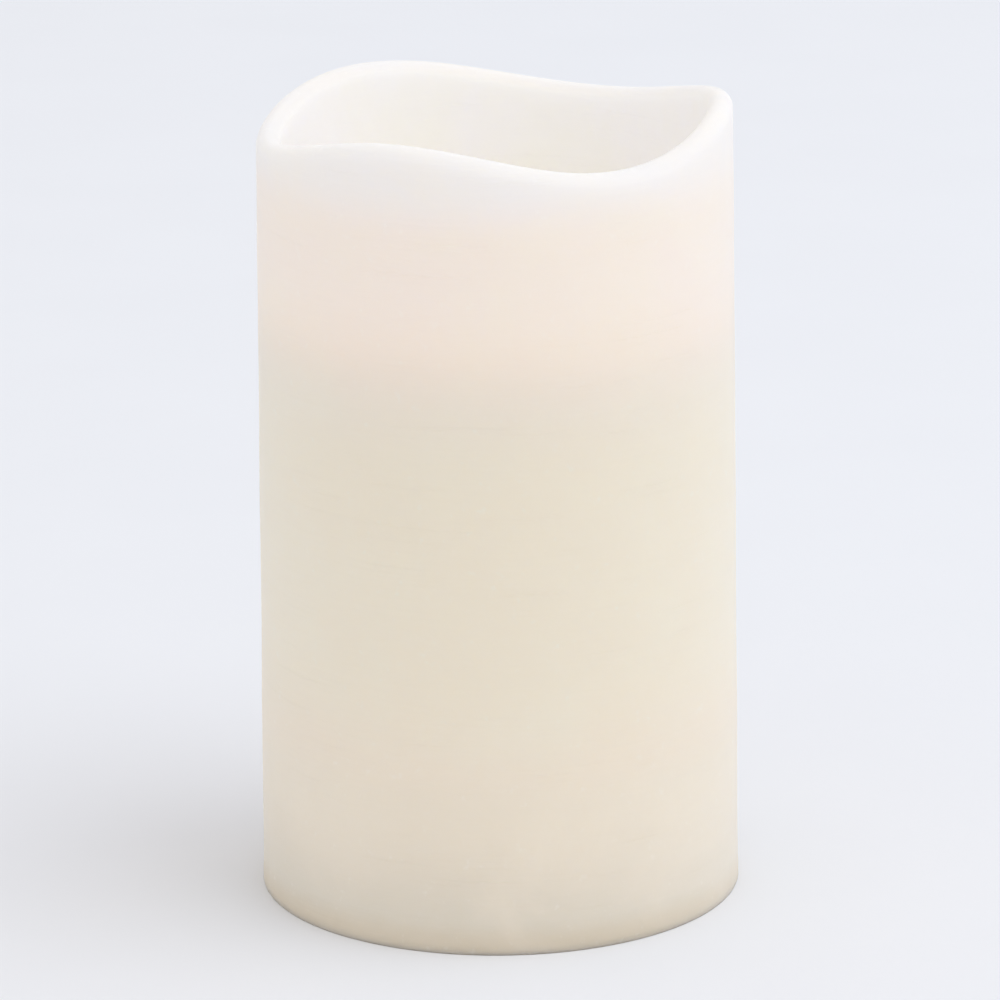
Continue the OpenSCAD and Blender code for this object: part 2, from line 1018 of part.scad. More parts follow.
module solder_joints() {
    color("silver") {
        both_sides(cell_x)
            difference() {
                translate([0, tab_y, board_top])
                    cylinder(r1 = 1.9, r2 = 1.35, h = solder_h);
                translate([0, tab_y, board_top])
                    cube([tab_w, contact_t, 6], center = true);
            }
        at_terminals()
            difference() {
                translate([0, wire_pad_y, board_top])
                    cylinder(r1 = 1.3, r2 = 0.9, h = solder_h);
                translate([0, wire_pad_y, 0])
                    disc(wire_r + 0.15, board_top - 1, board_top + 2);
            }
    }
}

// ---- Light ----

module led_spacer() {
    color("whitesmoke")
        difference() {
            disc(spacer_r, board_top, led_z);
            both_sides(lead_x)
                disc(lead_hole_r, board_top - 1, led_z + 1);
        }
}

module led_leads() {
    color("silver")
        both_sides(lead_x)
            translate([-lead_w / 2, -lead_w / 2, board_z - 1])
                cube([lead_w, lead_w, led_z - board_z + 1]);
}

module led() {
    color("wheat")
        translate([0, 0, led_z]) {
            disc(led_rim_r, 0, 1);
            disc(led_r, 0, led_l);
            intersection() {
                translate([0, 0, led_l])
                    sphere(led_r);
                disc(led_r + 1, led_l - eps, led_l + led_r + 1);
            }
        }
}

// Half-width of the flame-shaped bulb at u, from 0 at its neck to 1 at its tip.
function flame_r(u) = bulb_r * (0.9 + 0.28 * sin(150 * u)) * pow(1 - pow(u, 2.1), 0.72);

module flame_solid(shrink, top) {
    foot = neck_top + bulb_flange_t;
    steps = 18;
    rotate_extrude()
        polygon(concat(
            [[0, foot - eps]],
            [for (i = [0:steps - 1])
                let (u = i / steps)
                [max(flame_r(u) - shrink, 0.3), foot + (top - foot) * u - (i == 0 ? eps : 0)]],
            [[0, top]]
        ));
}

module flame_bulb() {
    color("antiquewhite")
        difference() {
            union() {
                disc(neck_r - 0.4, neck_top, neck_top + bulb_flange_t);
                flame_solid(0, bulb_top);
            }
            flame_solid(bulb_wall, bulb_top - 1.6);
            disc(bulb_mouth_r, neck_top - 1, neck_top + bulb_flange_t + 0.5);
        }
}

// Clip ring that holds the bulb on the neck and covers the hole in the wax.
module bulb_collar() {
    lip_z = neck_top + bulb_flange_t + 0.1;
    color("ivory")
        rotate_extrude()
            polygon([
                [neck_r + 0.1, well_floor_z], [collar_r, well_floor_z], [collar_r, lip_z],
                [collar_r - 0.7, lip_z + 0.9], [collar_hole_r + 0.3, lip_z + 1.1],
                [collar_hole_r, lip_z + 0.8], [collar_hole_r, lip_z], [neck_r + 0.1, lip_z]
            ]);
}

wax_shell();
core_shell();
glue_beads();
base_plate();
base_screws();
battery_door();
door_contact();
door_spring();
battery_holder();
holder_screws();
positive_contact();
negative_contact();
negative_spring();
battery_1_can();
battery_1_wrap();
battery_2_can();
battery_2_wrap();
switch_can();
switch_insulator();
switch_terminals();
switch_screws();
switch_knob();
switch_wiper();
wire_sleeves();
wire_timer();
wire_common();
wire_on();
circuit_board();
board_screws();
controller_chip();
timer_crystal();
resistors();
capacitor();
solder_joints();
led_spacer();
led_leads();
led();
flame_bulb();
bulb_collar();
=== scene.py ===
"""Looks of the flameless LED candle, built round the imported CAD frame.

It gives the wax its soft rim and skin, eases the moulded parts' edges, draws springs, threads and
wires round, and paints every piece with a procedural material. Lengths are metres, and small parts
are written in millimetres. An outline is a list of (radius, height) pairs.
"""

from math import atan2, cos, hypot, pi, radians, sin, tau

import bmesh
import bpy
from mathutils import Matrix, Vector, noise


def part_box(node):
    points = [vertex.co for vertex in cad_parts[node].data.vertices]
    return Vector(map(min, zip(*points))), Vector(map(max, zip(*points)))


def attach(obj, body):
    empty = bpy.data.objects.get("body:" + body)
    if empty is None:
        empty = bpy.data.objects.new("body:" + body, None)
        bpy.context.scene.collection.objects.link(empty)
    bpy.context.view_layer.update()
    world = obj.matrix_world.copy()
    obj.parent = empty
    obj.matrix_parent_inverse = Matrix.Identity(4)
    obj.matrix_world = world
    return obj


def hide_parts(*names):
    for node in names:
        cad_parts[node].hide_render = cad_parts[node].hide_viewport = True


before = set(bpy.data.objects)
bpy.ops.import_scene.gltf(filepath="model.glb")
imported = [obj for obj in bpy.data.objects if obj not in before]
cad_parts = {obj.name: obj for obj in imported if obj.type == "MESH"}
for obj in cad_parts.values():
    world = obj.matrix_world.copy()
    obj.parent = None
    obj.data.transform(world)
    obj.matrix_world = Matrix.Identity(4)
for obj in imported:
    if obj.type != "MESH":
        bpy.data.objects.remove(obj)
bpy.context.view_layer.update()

MM = 0.001

# The wax body's sizes that a node's box can't give, as in the CAD source.
RIM_Z = 124.5 * MM
WELL_FLOOR_Z = 94 * MM
CAVITY_TOP = 87 * MM
DRAFT = 1 * MM
WALL_T = 4.4 * MM
LIP_T = 4 * MM
WELL_TAPER = 0.4 * MM
WELL_FILLET = 3 * MM
BULB_HOLE_R = 8.2 * MM
INNER_EDGE = 0.6 * MM
# The foot's outer edge is crisper than the CAD's, as in the photo.
FOOT_EDGE = 0.18 * MM
# The rim's waves: half the height from trough to crest, and a crest's angle.
WAVE = (2.4 * MM, radians(4))
TILT = (0.45 * MM, radians(-60))
UNEVEN = (0.25 * MM, radians(-21))

CANDLE = "candle"
DOOR = "battery_door"
KNOB = "switch_knob"


# ---- materials

class Paint:
    """A material's node tree, with a short method for each kind of node."""

    def __init__(self, name):
        self.material = bpy.data.materials.new(name)
        self.material.use_nodes = True
        self.tree = self.material.node_tree
        self.tree.nodes.clear()
        self.coordinates = self.node("ShaderNodeTexCoord")
        self.place = self.coordinates.outputs["Object"]

    def node(self, kind, settings=None, **inputs):
        """A new node. An input's value is a number, a colour or another node's output."""
        made = self.tree.nodes.new(kind)
        for key, value in (settings or {}).items():
            setattr(made, key, value)
        for key, value in inputs.items():
            self.put(value, made.inputs[key.replace("_", " ")])
        return made

    def put(self, value, socket):
        if isinstance(value, bpy.types.NodeSocket):
            self.tree.links.new(value, socket)
        elif value is not None:
            if socket.type == "RGBA" and len(value) == 3:
                value = (*value, 1)
            socket.default_value = value

    def mapped(self, stretch=(1, 1, 1), turn=(0, 0, 0)):
        """Object coordinates, scaled by stretch and turned by turn degrees."""
        made = self.node("ShaderNodeMapping", Vector=self.place, Scale=stretch)
        made.inputs["Rotation"].default_value = [radians(t) for t in turn]
        return made.outputs["Vector"]

    def noise(self, size, detail=3, stretch=(1, 1, 1), turn=(0, 0, 0), distortion=0):
        """Noise from 0 to 1 whose blotches are about size metres across."""
        made = self.node(
            "ShaderNodeTexNoise", Vector=self.mapped(stretch, turn), Scale=1 / size,
            Detail=detail, Roughness=0.55, Distortion=distortion,
        )
        return made.outputs["Fac"]

    def cells(self, size):
        """The distance from the nearest of many points, which are about size metres apart."""
        made = self.node("ShaderNodeTexVoronoi", Vector=self.mapped(), Scale=1 / size)
        return made.outputs["Distance"]

    def spread(self, value, low, high, to_low=0, to_high=1):
        """value from low..high to to_low..to_high, smoothly and clamped."""
        made = self.node(
            "ShaderNodeMapRange", {"interpolation_type": "SMOOTHSTEP"}, Value=value,
            From_Min=low, From_Max=high, To_Min=to_low, To_Max=to_high,
        )
        return made.outputs["Result"]

    def math(self, operation, a, b=None):
        made = self.node("ShaderNodeMath", {"operation": operation})
        self.put(a, made.inputs[0])
        self.put(b, made.inputs[1])
        return made.outputs["Value"]

    def mix(self, factor, a, b):
        """The colour a where factor is 0, and b where it is 1."""
        made = self.node("ShaderNodeMix", {"data_type": "RGBA", "blend_type": "MIX"})
        # A mix node has one set of inputs for each data type. These are the colour's.
        for value, index in ((factor, 0), (a, 6), (b, 7)):
            self.put(value, made.inputs[index])
        return made.outputs[2]

    def axis(self, name):
        """The object coordinate X, Y or Z."""
        return self.node("ShaderNodeSeparateXYZ", Vector=self.place).outputs[name]

    def upward(self):
        """How far the surface faces up, from -1 to 1."""
        made = self.node("ShaderNodeSeparateXYZ", Vector=self.coordinates.outputs["Normal"])
        return made.outputs["Z"]

    def radius(self):
        """The distance from the candle's axis."""
        squares = [self.math("MULTIPLY", axis, axis) for axis in (self.axis("X"), self.axis("Y"))]
        return self.math("SQRT", self.math("ADD", *squares))

    def bumps(self, *layers):
        """One normal from (height, depth in metres) layers, the coarsest first."""
        normal = None
        for height, depth in layers:
            made = self.node(
                "ShaderNodeBump", Height=height, Strength=1, Distance=depth, Normal=normal
            )
            normal = made.outputs["Normal"]
        return normal

    def done(self, color, roughness, normal, **inputs):
        """The finished material."""
        shader = self.node("ShaderNodeBsdfPrincipled", Roughness=roughness, Normal=normal)
        self.put(color, shader.inputs["Base Color"])
        for key, value in inputs.items():
            self.put(value, shader.inputs[key.replace("_", " ")])
        self.node("ShaderNodeOutputMaterial", Surface=shader.outputs["BSDF"])
        return self.material


def wax_material():
    """Ivory paraffin: cloudy and faintly streaked. Its colour also carries painted light and shade:
    paler where the well thins the wall, on the rim and in the well, and darker towards the foot and
    on the lip's crest.
    """
    p = Paint("wax")
    height = p.axis("Z")
    color = (0.99, 0.825, 0.685)
    # Painted light and shade by height: from start to end mm the colour turns share of the way to
    # tint.
    for start, end, share, tint in (
        (44, 22, 1, (0.885, 0.797, 0.67)),  # low on the body: painted shade, where the foot's shade begins
        (22, 0, 1, (0.755, 0.705, 0.605)),  # the foot: painted shade, darker towards the table
        (6, 0, 0.6, (0.7, 0.58, 0.42)),  # the hem on the table: painted contact shade
        (74, 106, 1, (0.93, 0.82, 0.755)),  # the thin wall beside the well: paler, painted light shining through the wall
        (112, 122, 1, (0.885, 0.855, 0.84)),  # the rim: paler and cooler, painted light on the lip
    ):
        color = p.mix(p.spread(height, start * MM, end * MM, 0, share), color, tint)
    # Painted light in the well: warm low down, where light shines through the wall, and pale above.
    well = p.mix(p.spread(height, 0.103, 0.118), (1.0, 0.95, 0.905), (0.98, 0.96, 0.94))
    inside = p.math("MULTIPLY", p.spread(p.radius(), 0.0352, 0.0335), p.spread(height, 0.09, 0.094))
    color = p.mix(inside, color, well)
    # Painted shade: the lip's crest, where it faces up, is darker.
    crest = p.math("MULTIPLY", p.spread(p.upward(), 0.0, 0.9), p.spread(height, 0.112, 0.116))
    color = p.mix(crest, color, (0.815, 0.795, 0.78))
    cloud = p.noise(0.022, 4, distortion=0.6)
    color = p.mix(p.spread(cloud, 0.35, 0.75, 0, 0.3), color, (0.965, 0.86, 0.73))
    bloom = p.spread(p.noise(0.0016, 2), 0.62, 0.8, 0, 0.18)
    color = p.mix(bloom, color, (0.97, 0.94, 0.89))
    streaks = p.noise(0.02, 3, (0.4, 0.4, 26), (0, 6, 0))
    scuffs = p.spread(p.noise(0.012, 2, (0.35, 0.35, 30), (8, -22, 0), 0.2), 0.68, 0.73)
    normal = p.bumps(
        (p.noise(0.011, 2), 0.00022),
        (streaks, 0.00006),
        (p.noise(0.0011, 3), 0.000025),
        (scuffs, 0.00003),
    )
    roughness = p.spread(p.noise(0.006, 3), 0.3, 0.7, 0.5, 0.62)
    depth = p.spread(height, 0.086, 0.106, 0.0045, 0.007)
    return p.done(
        color, roughness, normal, Subsurface_Weight=1.0, Subsurface_Radius=(0.85, 0.85, 0.78),
        Subsurface_Scale=depth, IOR=1.44, Specular_IOR_Level=0.25,
    )


def moulded_material(name, color, grain, depth, roughness, glow=0.0):
    """Injection-moulded plastic with fine spark-eroded grain, sink marks and handling wear."""
    p = Paint(name)
    worn = [min(1, c * 1.12 + 0.01) for c in color]
    dusty = [c * 0.9 for c in color]
    patches = p.noise(0.009, 4, distortion=0.4)
    tint = p.mix(p.spread(patches, 0.35, 0.7, 0, 0.5), color, dusty)
    tint = p.mix(p.spread(p.noise(0.0013, 3), 0.6, 0.75, 0, 0.3), tint, worn)
    rough = p.math("ADD", p.spread(patches, 0.3, 0.7, -0.06, 0.08), roughness)
    normal = p.bumps((p.noise(0.012, 1), depth * 4), (p.noise(grain, 2), depth))
    return p.done(
        tint, rough, normal, Subsurface_Weight=glow, Subsurface_Radius=(1.0, 0.9, 0.8),
        Subsurface_Scale=0.001,
    )


def metal_material(name, color, roughness, brushed=(1, 1, 14)):
    """Cloudy plated metal with fine lines across the axis with the largest number in brushed."""
    p = Paint(name)
    lines = p.noise(0.0012, 3, brushed)
    clouds = p.noise(0.0035, 3, distortion=0.5)
    dull = [c * 0.72 for c in color]
    tint = p.mix(p.spread(clouds, 0.4, 0.75, 0, 0.6), color, dull)
    rough = p.math("ADD", p.spread(lines, 0.3, 0.7, -0.07, 0.1), roughness)
    normal = p.bumps((lines, 0.000006), (p.noise(0.0004, 2), 0.000003))
    return p.done(tint, rough, normal, Metallic=1.0)


# ---- meshes

# Closer points of one mesh are one point.
WELD = 1e-7


def show(thing):
    bpy.context.scene.collection.objects.link(thing)


def new_mesh(name, points, faces):
    mesh = bpy.data.meshes.new(name)
    mesh.from_pydata(points, [], faces)
    return mesh


def painted(mesh, *materials):
    """The mesh with its materials, in the order of its faces' material indices."""
    for material in materials:
        mesh.materials.append(material)
    return mesh


def link(name, mesh, *replaced, slot, body=CANDLE):
    """A finished piece: it rides on body and stands for the CAD nodes replaced."""
    piece = bpy.data.objects.new(name, mesh)
    show(piece)
    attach(piece, body)
    if replaced:
        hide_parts(*replaced)
    return piece


def welded(mesh, offset=(0, 0, 0)):
    """The same mesh with doubled points merged, every face turned outwards, and moved by offset."""
    shape = bmesh.new()
    shape.from_mesh(mesh)
    bmesh.ops.remove_doubles(shape, verts=shape.verts, dist=WELD)
    bmesh.ops.dissolve_degenerate(shape, edges=shape.edges, dist=WELD)
    bmesh.ops.recalc_face_normals(shape, faces=shape.faces)
    bmesh.ops.translate(shape, verts=shape.verts, vec=offset)
    shape.to_mesh(mesh)
    shape.free()
    return mesh


def spun_mesh(name, outline_at, steps, closed=True):
    """A surface round Z. outline_at(angle) gives (radius, height) points, as many at each angle."""
    rows = []
    for i in range(steps):
        a = tau * i / steps
        rows.append([(r * cos(a), r * sin(a), z) for r, z in outline_at(a)])
    count = len(rows[0])
    points = [point for row in rows for point in row]
    faces = []
    for i in range(steps):
        here, there = i * count, (i + 1) % steps * count
        for k in range(count if closed else count - 1):
            after = (k + 1) % count
            faces.append((here + k, there + k, there + after, here + after))
    mesh = new_mesh(name, points, faces)
    mesh.shade_smooth()
    mesh.validate()
    return mesh


# ---- wax body

def rim_height(a):
    """The rim's crest at angle a: the CAD source's sum of cosines."""
    return (
        RIM_Z
        + WAVE[0] * cos(3 * (a - WAVE[1]))
        + TILT[0] * cos(a - TILT[1])
        + UNEVEN[0] * (cos(2 * (a - UNEVEN[1])) + cos(4 * (a - UNEVEN[1])))
    )


def stretch(start, end, count):
    """count points from start up to, but without, end."""
    return [
        (start[0] + (end[0] - start[0]) * i / count, start[1] + (end[1] - start[1]) * i / count)
        for i in range(count)
    ]


def polar(r, degrees):
    return r * cos(radians(degrees)), r * sin(radians(degrees))


def bend(centre, r, start, end, count):
    """count points of an arc round centre from start degrees up to, but without, end."""
    offsets = [polar(r, start + (end - start) * i / count) for i in range(count)]
    return [(centre[0] + x, centre[1] + y) for x, y in offsets]


def around(a, phase, frequency):
    """Noise from -1 to 1 that changes smoothly with the angle a and closes after a full turn."""
    return noise.noise(Vector((cos(a), sin(a), phase)) * frequency)


def wax_outline(foot_r, rim_r, a):
    """The wax's closed outline at angle a: foot, outer wall, lip, well, flame hole, hollow."""
    # The poured rim's dip, and how the well's edge swells and leans.
    dip, swell, lean = 0.06 * MM, 0.18 * MM, 0.016
    crest = rim_height(a) - dip * (1 + around(a, 3, 2.5))
    outer_top = foot_r + (rim_r - foot_r) * crest / RIM_Z
    inner_top = rim_r - LIP_T + (crest - RIM_Z) * lean + swell * around(a, 7, 1.8)
    lip_r = (outer_top - inner_top) / 2
    lip_z = crest - lip_r
    cavity_r = foot_r - WALL_T
    fillet = (rim_r - LIP_T - WELL_TAPER - WELL_FILLET, WELL_FLOOR_Z + WELL_FILLET)
    hole_edge = (BULB_HOLE_R + INNER_EDGE, WELL_FLOOR_Z - INNER_EDGE)
    return (
        bend((foot_r - FOOT_EDGE, FOOT_EDGE), FOOT_EDGE, -90, 0, 5)
        + stretch((foot_r, FOOT_EDGE), (outer_top, lip_z), 84)
        + bend(((outer_top + inner_top) / 2, lip_z), lip_r, 0, 180, 22)
        + stretch((inner_top, lip_z), (fillet[0] + WELL_FILLET, fillet[1]), 22)
        + bend(fillet, WELL_FILLET, 0, -90, 8)
        + stretch((fillet[0], WELL_FLOOR_Z), (hole_edge[0], WELL_FLOOR_Z), 18)
        + bend(hole_edge, INNER_EDGE, 90, 180, 4)
        + stretch((BULB_HOLE_R, hole_edge[1]), (BULB_HOLE_R, CAVITY_TOP), 4)
        + stretch((BULB_HOLE_R, CAVITY_TOP), (cavity_r, CAVITY_TOP), 10)
        + stretch((cavity_r, CAVITY_TOP), (cavity_r, INNER_EDGE), 20)
        + stretch((cavity_r, INNER_EDGE), (cavity_r + INNER_EDGE, 0), 2)
        + stretch((cavity_r + INNER_EDGE, 0), (foot_r - FOOT_EDGE, 0), 4)
    )


def soften(point, outer_r):
    """The point, pulled into the wax by up to 0.18 mm if it is on the visible skin."""
    p = Vector(point)
    across = hypot(p.x, p.y)
    at_foot, by_hole = p.z < 2 * MM, across < 12 * MM
    in_hollow = across < outer_r - 6 * MM and p.z < CAVITY_TOP + 1 * MM
    if at_foot or by_hole or in_hollow:
        return p
    hand = noise.noise(p * 55) + 0.35 * noise.noise(p * 170)
    depth = 0.09 * MM * min(max(hand + 0.8, 0), 2)
    if across < outer_r - 3 * MM:
        p.z -= depth if p.z < WELL_FLOOR_Z + 2 * MM else 0
        return p
    p.x -= p.x / across * depth
    p.y -= p.y / across * depth
    return p


def make_wax(material):
    low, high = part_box("wax_shell")
    foot_r = (high.x - low.x) / 2
    mesh = spun_mesh("wax_body", lambda a: wax_outline(foot_r, foot_r - DRAFT, a), 300)
    for vertex in mesh.vertices:
        vertex.co = soften(vertex.co, foot_r)
    link("wax_body", painted(mesh, material), "wax_shell", slot="wax")


make_wax(wax_material())

# ---- shared mesh work

# In CAD copies, points within SEAM and faces within FLAT_ANGLE are one, and edges over
# EDGE_ANGLE are rounded.
SEAM = 0.002 * MM
FLAT_ANGLE = radians(0.5)
EDGE_ANGLE = radians(35)
SMOOTH_ANGLE = radians(40)


def baked(mesh, kind, **settings):
    """The mesh with one modifier applied."""
    holder = bpy.data.objects.new("scratch", mesh)
    show(holder)
    modifier = holder.modifiers.new(kind, kind)
    for key, value in settings.items():
        setattr(modifier, key, value)
    depsgraph = bpy.context.evaluated_depsgraph_get()
    made = bpy.data.meshes.new_from_object(
        holder.evaluated_get(depsgraph), preserve_all_data_layers=True, depsgraph=depsgraph
    )
    bpy.data.objects.remove(holder)
    return made


def smoothed(mesh):
    """Round faces shade smoothly, and corners over SMOOTH_ANGLE stay crisp."""
    mesh.shade_smooth()
    mesh.set_sharp_from_angle(angle=SMOOTH_ANGLE)
    return baked(mesh, "WEIGHTED_NORMAL", keep_sharp=True)


def eased(node, width, material, slot, body=CANDLE, crisp=None):
    """A copy of a CAD node, its corners rounded to width except where crisp(point) is true."""
    shape = bmesh.new()
    shape.from_mesh(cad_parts[node].data)
    bmesh.ops.remove_doubles(shape, verts=shape.verts, dist=SEAM)
    bmesh.ops.dissolve_limit(shape, angle_limit=FLAT_ANGLE, verts=shape.verts, edges=shape.edges)
    corners = []
    for edge in shape.edges:
        middle = (edge.verts[0].co + edge.verts[1].co) / 2
        if crisp and crisp(middle):
            continue
        if edge.is_manifold and edge.calc_face_angle(0) > EDGE_ANGLE:
            corners.append(edge)
    bmesh.ops.bevel(shape, geom=corners, offset=width * MM, segments=2, profile=0.5, affect="EDGES")
    mesh = bpy.data.meshes.new(node + "_part")
    shape.to_mesh(mesh)
    shape.free()
    link(node + "_part", painted(smoothed(mesh), material), node, slot=slot, body=body)


def lathe(name, outline, steps, materials, paint=None):
    """A solid from an outline that starts and ends on Z. paint(radius, height) picks a material."""
    mesh = welded(spun_mesh(name, lambda a: outline, steps, closed=False))
    for face in mesh.polygons:
        x, y, z = face.center
        face.material_index = paint(hypot(x, y), z) if paint else 0
    return painted(mesh, *materials)


def joined(name, parts):
    """One mesh from (mesh, matrix) parts, all with the first one's materials."""
    shape = bmesh.new()
    for mesh, matrix in parts:
        count = len(shape.verts)
        shape.from_mesh(mesh)
        shape.verts.ensure_lookup_table()
        for vertex in shape.verts[count:]:
            vertex.co = matrix @ vertex.co
    made = bpy.data.meshes.new(name)
    shape.to_mesh(made)
    shape.free()
    return smoothed(painted(made, *parts[0][0].materials))


def link_parts(name, parts, *replaced, slot):
    """A finished piece of the candle's body, made of parts."""
    return link(name, joined(name, parts), *replaced, slot=slot)


def at(x, y, z, turn=0, axis="X"):
    """A matrix that turns by turn degrees round axis and then moves to a place in millimetres."""
    move = Matrix.Translation((x * MM, y * MM, z * MM))
    return move @ Matrix.Rotation(radians(turn), 4, axis)


def scaled(outline):
    """An outline in metres from one in millimetres."""
    return [(r * MM, z * MM) for r, z in outline]


def eased_outline(corners, r, count=4):
    """The outline in metres through corners in millimetres, all but the ends rounded by r."""
    points = []
    last = len(corners) - 1
    for i, corner in enumerate(corners):
        here = Vector(corner)
        if i in (0, last):
            points.append(here)
            continue
        before, after = Vector(corners[i - 1]) - here, Vector(corners[i + 1]) - here
        reach = min(r, before.length * 0.45, after.length * 0.45)
        start, end = here + before.normalized() * reach, here + after.normalized() * reach
        for k in range(count + 1):
            u = k / count
            points.append(start * (1 - u) ** 2 + here * 2 * u * (1 - u) + end * u ** 2)
    return scaled(points)


def curve_point(points, t):
    """A point on the smooth curve through points, at t counted in spans, as in the CAD source."""
    last = len(points) - 1
    i = min(int(t), last - 1)
    u = t - i
    a, b, c, d = points[max(i - 1, 0)], points[i], points[i + 1], points[min(i + 2, last)]
    squared, cubed = 2 * a - 5 * b + 4 * c - d, 3 * b - a - 3 * c + d
    return 0.5 * (2 * b + (c - a) * u + squared * u ** 2 + cubed * u ** 3)


def tube_mesh(name, path, r, side, sides, material):
    """A round wire along path, in metres, with eased ends. side never points along the path."""
    count = len(path)
    rows = []
    for i, point in enumerate(path):
        forward = (path[min(i + 1, count - 1)] - path[max(i - 1, 0)]).normalized()
        across = forward.cross(Vector(side)).normalized()
        up = across.cross(forward)
        rows.append((point, forward, across, up))
    # Each ring: its row, how far it lies ahead of the row's point, and its share of the radius.
    cap, taper = 0.3 * r, 0.55
    rings = [(rows[0], -cap, taper), *((row, 0, 1) for row in rows), (rows[-1], cap, taper)]
    points = []
    for (point, forward, across, up), ahead, share in rings:
        for k in range(sides):
            a = tau * k / sides
            outwards = across * cos(a) + up * sin(a)
            points.append(point + forward * ahead + outwards * r * share)
    last = (len(rings) - 1) * sides
    faces = [tuple(reversed(range(sides)))]
    for start in range(0, last, sides):
        for k in range(sides):
            here, after = start + k, start + (k + 1) % sides
            faces.append((here, after, after + sides, here + sides))
    faces.append(tuple(range(last, last + sides)))
    mesh = new_mesh(name, points, faces)
    mesh.shade_smooth()
    return painted(mesh, material)


# ---- bulb, collar, LED

# Sizes from here on are millimetres.
BULB_FOOT_Z = 96.2
BULB_TOP_Z = 111
BULB_R = 5.8
BULB_WALL = 0.9
BULB_TIP_WALL = 1.6
# Above LEAN_Z the tip narrows into three faint flutes and leans aside by LEAN at its top.
LEAN_Z = 98
LEAN = 0.35
FLUTE = 0.025
LED_R = 2.5
LED_RIM_R = 2.9
LED_FLAT_X = 2.6
LED_H = 8.5


def flame_outline(shrink, top, steps):
    """The flame's half outline from its foot up to its tip."""
    points = []
    for i in range(steps):
        u = i / steps
        r = BULB_R * (0.9 + 0.28 * sin(radians(150 * u))) * (1 - u ** 2.1) ** 0.72
        points.append((max(r - shrink, 0.3), BULB_FOOT_Z + (top - BULB_FOOT_Z) * u))
    return points + [(0, top)]


def make_bulb(material):
    """The hollow flame tip leans a little, as a soft moulding does, over a flat flange."""
    inner = flame_outline(BULB_WALL, BULB_TOP_Z - BULB_TIP_WALL, 22)
    outer = flame_outline(0, BULB_TOP_Z, 44)
    flange = eased_outline([(4.2, 96.4), (4.2, 95), (7.4, 95), (7.4, 96.2), (5.6, 96.2)], 0.3)
    mesh = lathe("flame_tip", scaled(reversed(inner)) + flange + scaled(outer), 72, [material])
    for vertex in mesh.vertices:
        point = vertex.co
        rise = max(point.z - LEAN_Z * MM, 0) / ((BULB_TOP_Z - LEAN_Z) * MM)
        a = atan2(point.y, point.x)
        flute = 1 - FLUTE * rise * (1 + cos(3 * a + 2.2 * rise))
        point.x, point.y = point.x * flute + LEAN * MM * rise ** 2, point.y * flute
    mesh.shade_smooth()
    link("flame_tip", mesh, "flame_bulb", slot="flame_silicone")


def make_collar(material):
    outline = eased_outline(
        [(7.9, 95), (7.9, 94), (10, 94), (10, 96.3), (9.3, 97.2), (6.2, 97.4), (5.9, 97.1),
         (5.9, 96.3), (7.9, 96.3), (7.9, 95)], 0.3,
    )
    mesh = painted(smoothed(spun_mesh("bulb_clip_ring", lambda a: outline[:-1], 120)), material)
    link("bulb_clip_ring", mesh, "bulb_collar", slot="base_plastic")


def make_led(material):
    """A domed lens over a rim that has one flat side."""
    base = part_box("led")[0].z / MM
    dome_z = base + LED_H - LED_R
    outline = eased_outline(
        [(0, base), (LED_RIM_R, base), (LED_RIM_R, base + 1), (LED_R, base + 1), (LED_R, base + 5)],
        0.15,
    )
    dome = [polar(LED_R, a) for a in range(0, 90, 6)]
    outline += scaled([(r, dome_z + rise) for r, rise in dome] + [(0, base + LED_H)])
    mesh = lathe("led_lens", outline, 48, [material])
    for vertex in mesh.vertices:
        if vertex.co.z < (base + 1.01) * MM:
            vertex.co.x = max(vertex.co.x, -LED_FLAT_X * MM)
    link("led_lens", smoothed(mesh), "led", slot="led_epoxy")


# ---- screws

# Head radius, head height, thread radius, core radius, length and pitch.
BASE_SCREW = (2.5, 1.8, 1.35, 1.05, 11, 1)
HOLDER_SCREW = (2.2, 1.6, 1.2, 0.9, 7, 1)
BOARD_SCREW = (1.9, 1.3, 1, 0.72, 5, 0.8)
SWITCH_SCREW = (1.8, 1.2, 0.95, 0.7, 3.2, 0.7)
# Heights of the faces under the heads, and where the screws stand.
BASE_SEAT_Z = 6.2
HOLDER_SEAT_Z = 11.2
BOARD_TOP = 66.2
SWITCH_SEAT_Z = 5.6
BASE_SCREW_RING_R = 25.5
BASE_SCREW_ANGLES = (30, 150, 270)
HOLDER_SCREW_X = 20.5
BOARD_SCREW_X = 14
SWITCH_SCREW_X = 9
SWITCH_Y = 22


def cross_cutter(r, top, bottom):
    """The tapered cross of a screwdriver's tip, for a head of radius r, in metres."""
    wide, narrow = 0.6 * r, 0.13 * r
    outline = []
    for quarter in range(4):
        a = pi / 2 * quarter
        for x, y in ((narrow, narrow), (wide, narrow), (wide, -narrow)):
            outline.append((x * cos(a) + y * sin(a), -x * sin(a) + y * cos(a)))
    count = len(outline)
    points = [(x * 0.6, y * 0.6, bottom) for x, y in outline] + [(x, y, top) for x, y in outline]
    faces = [tuple(range(count)), tuple(reversed(range(count, 2 * count)))]
    faces += [(k, k + count, (k + 1) % count + count, (k + 1) % count) for k in range(count)]
    return welded(new_mesh("cross", points, faces))


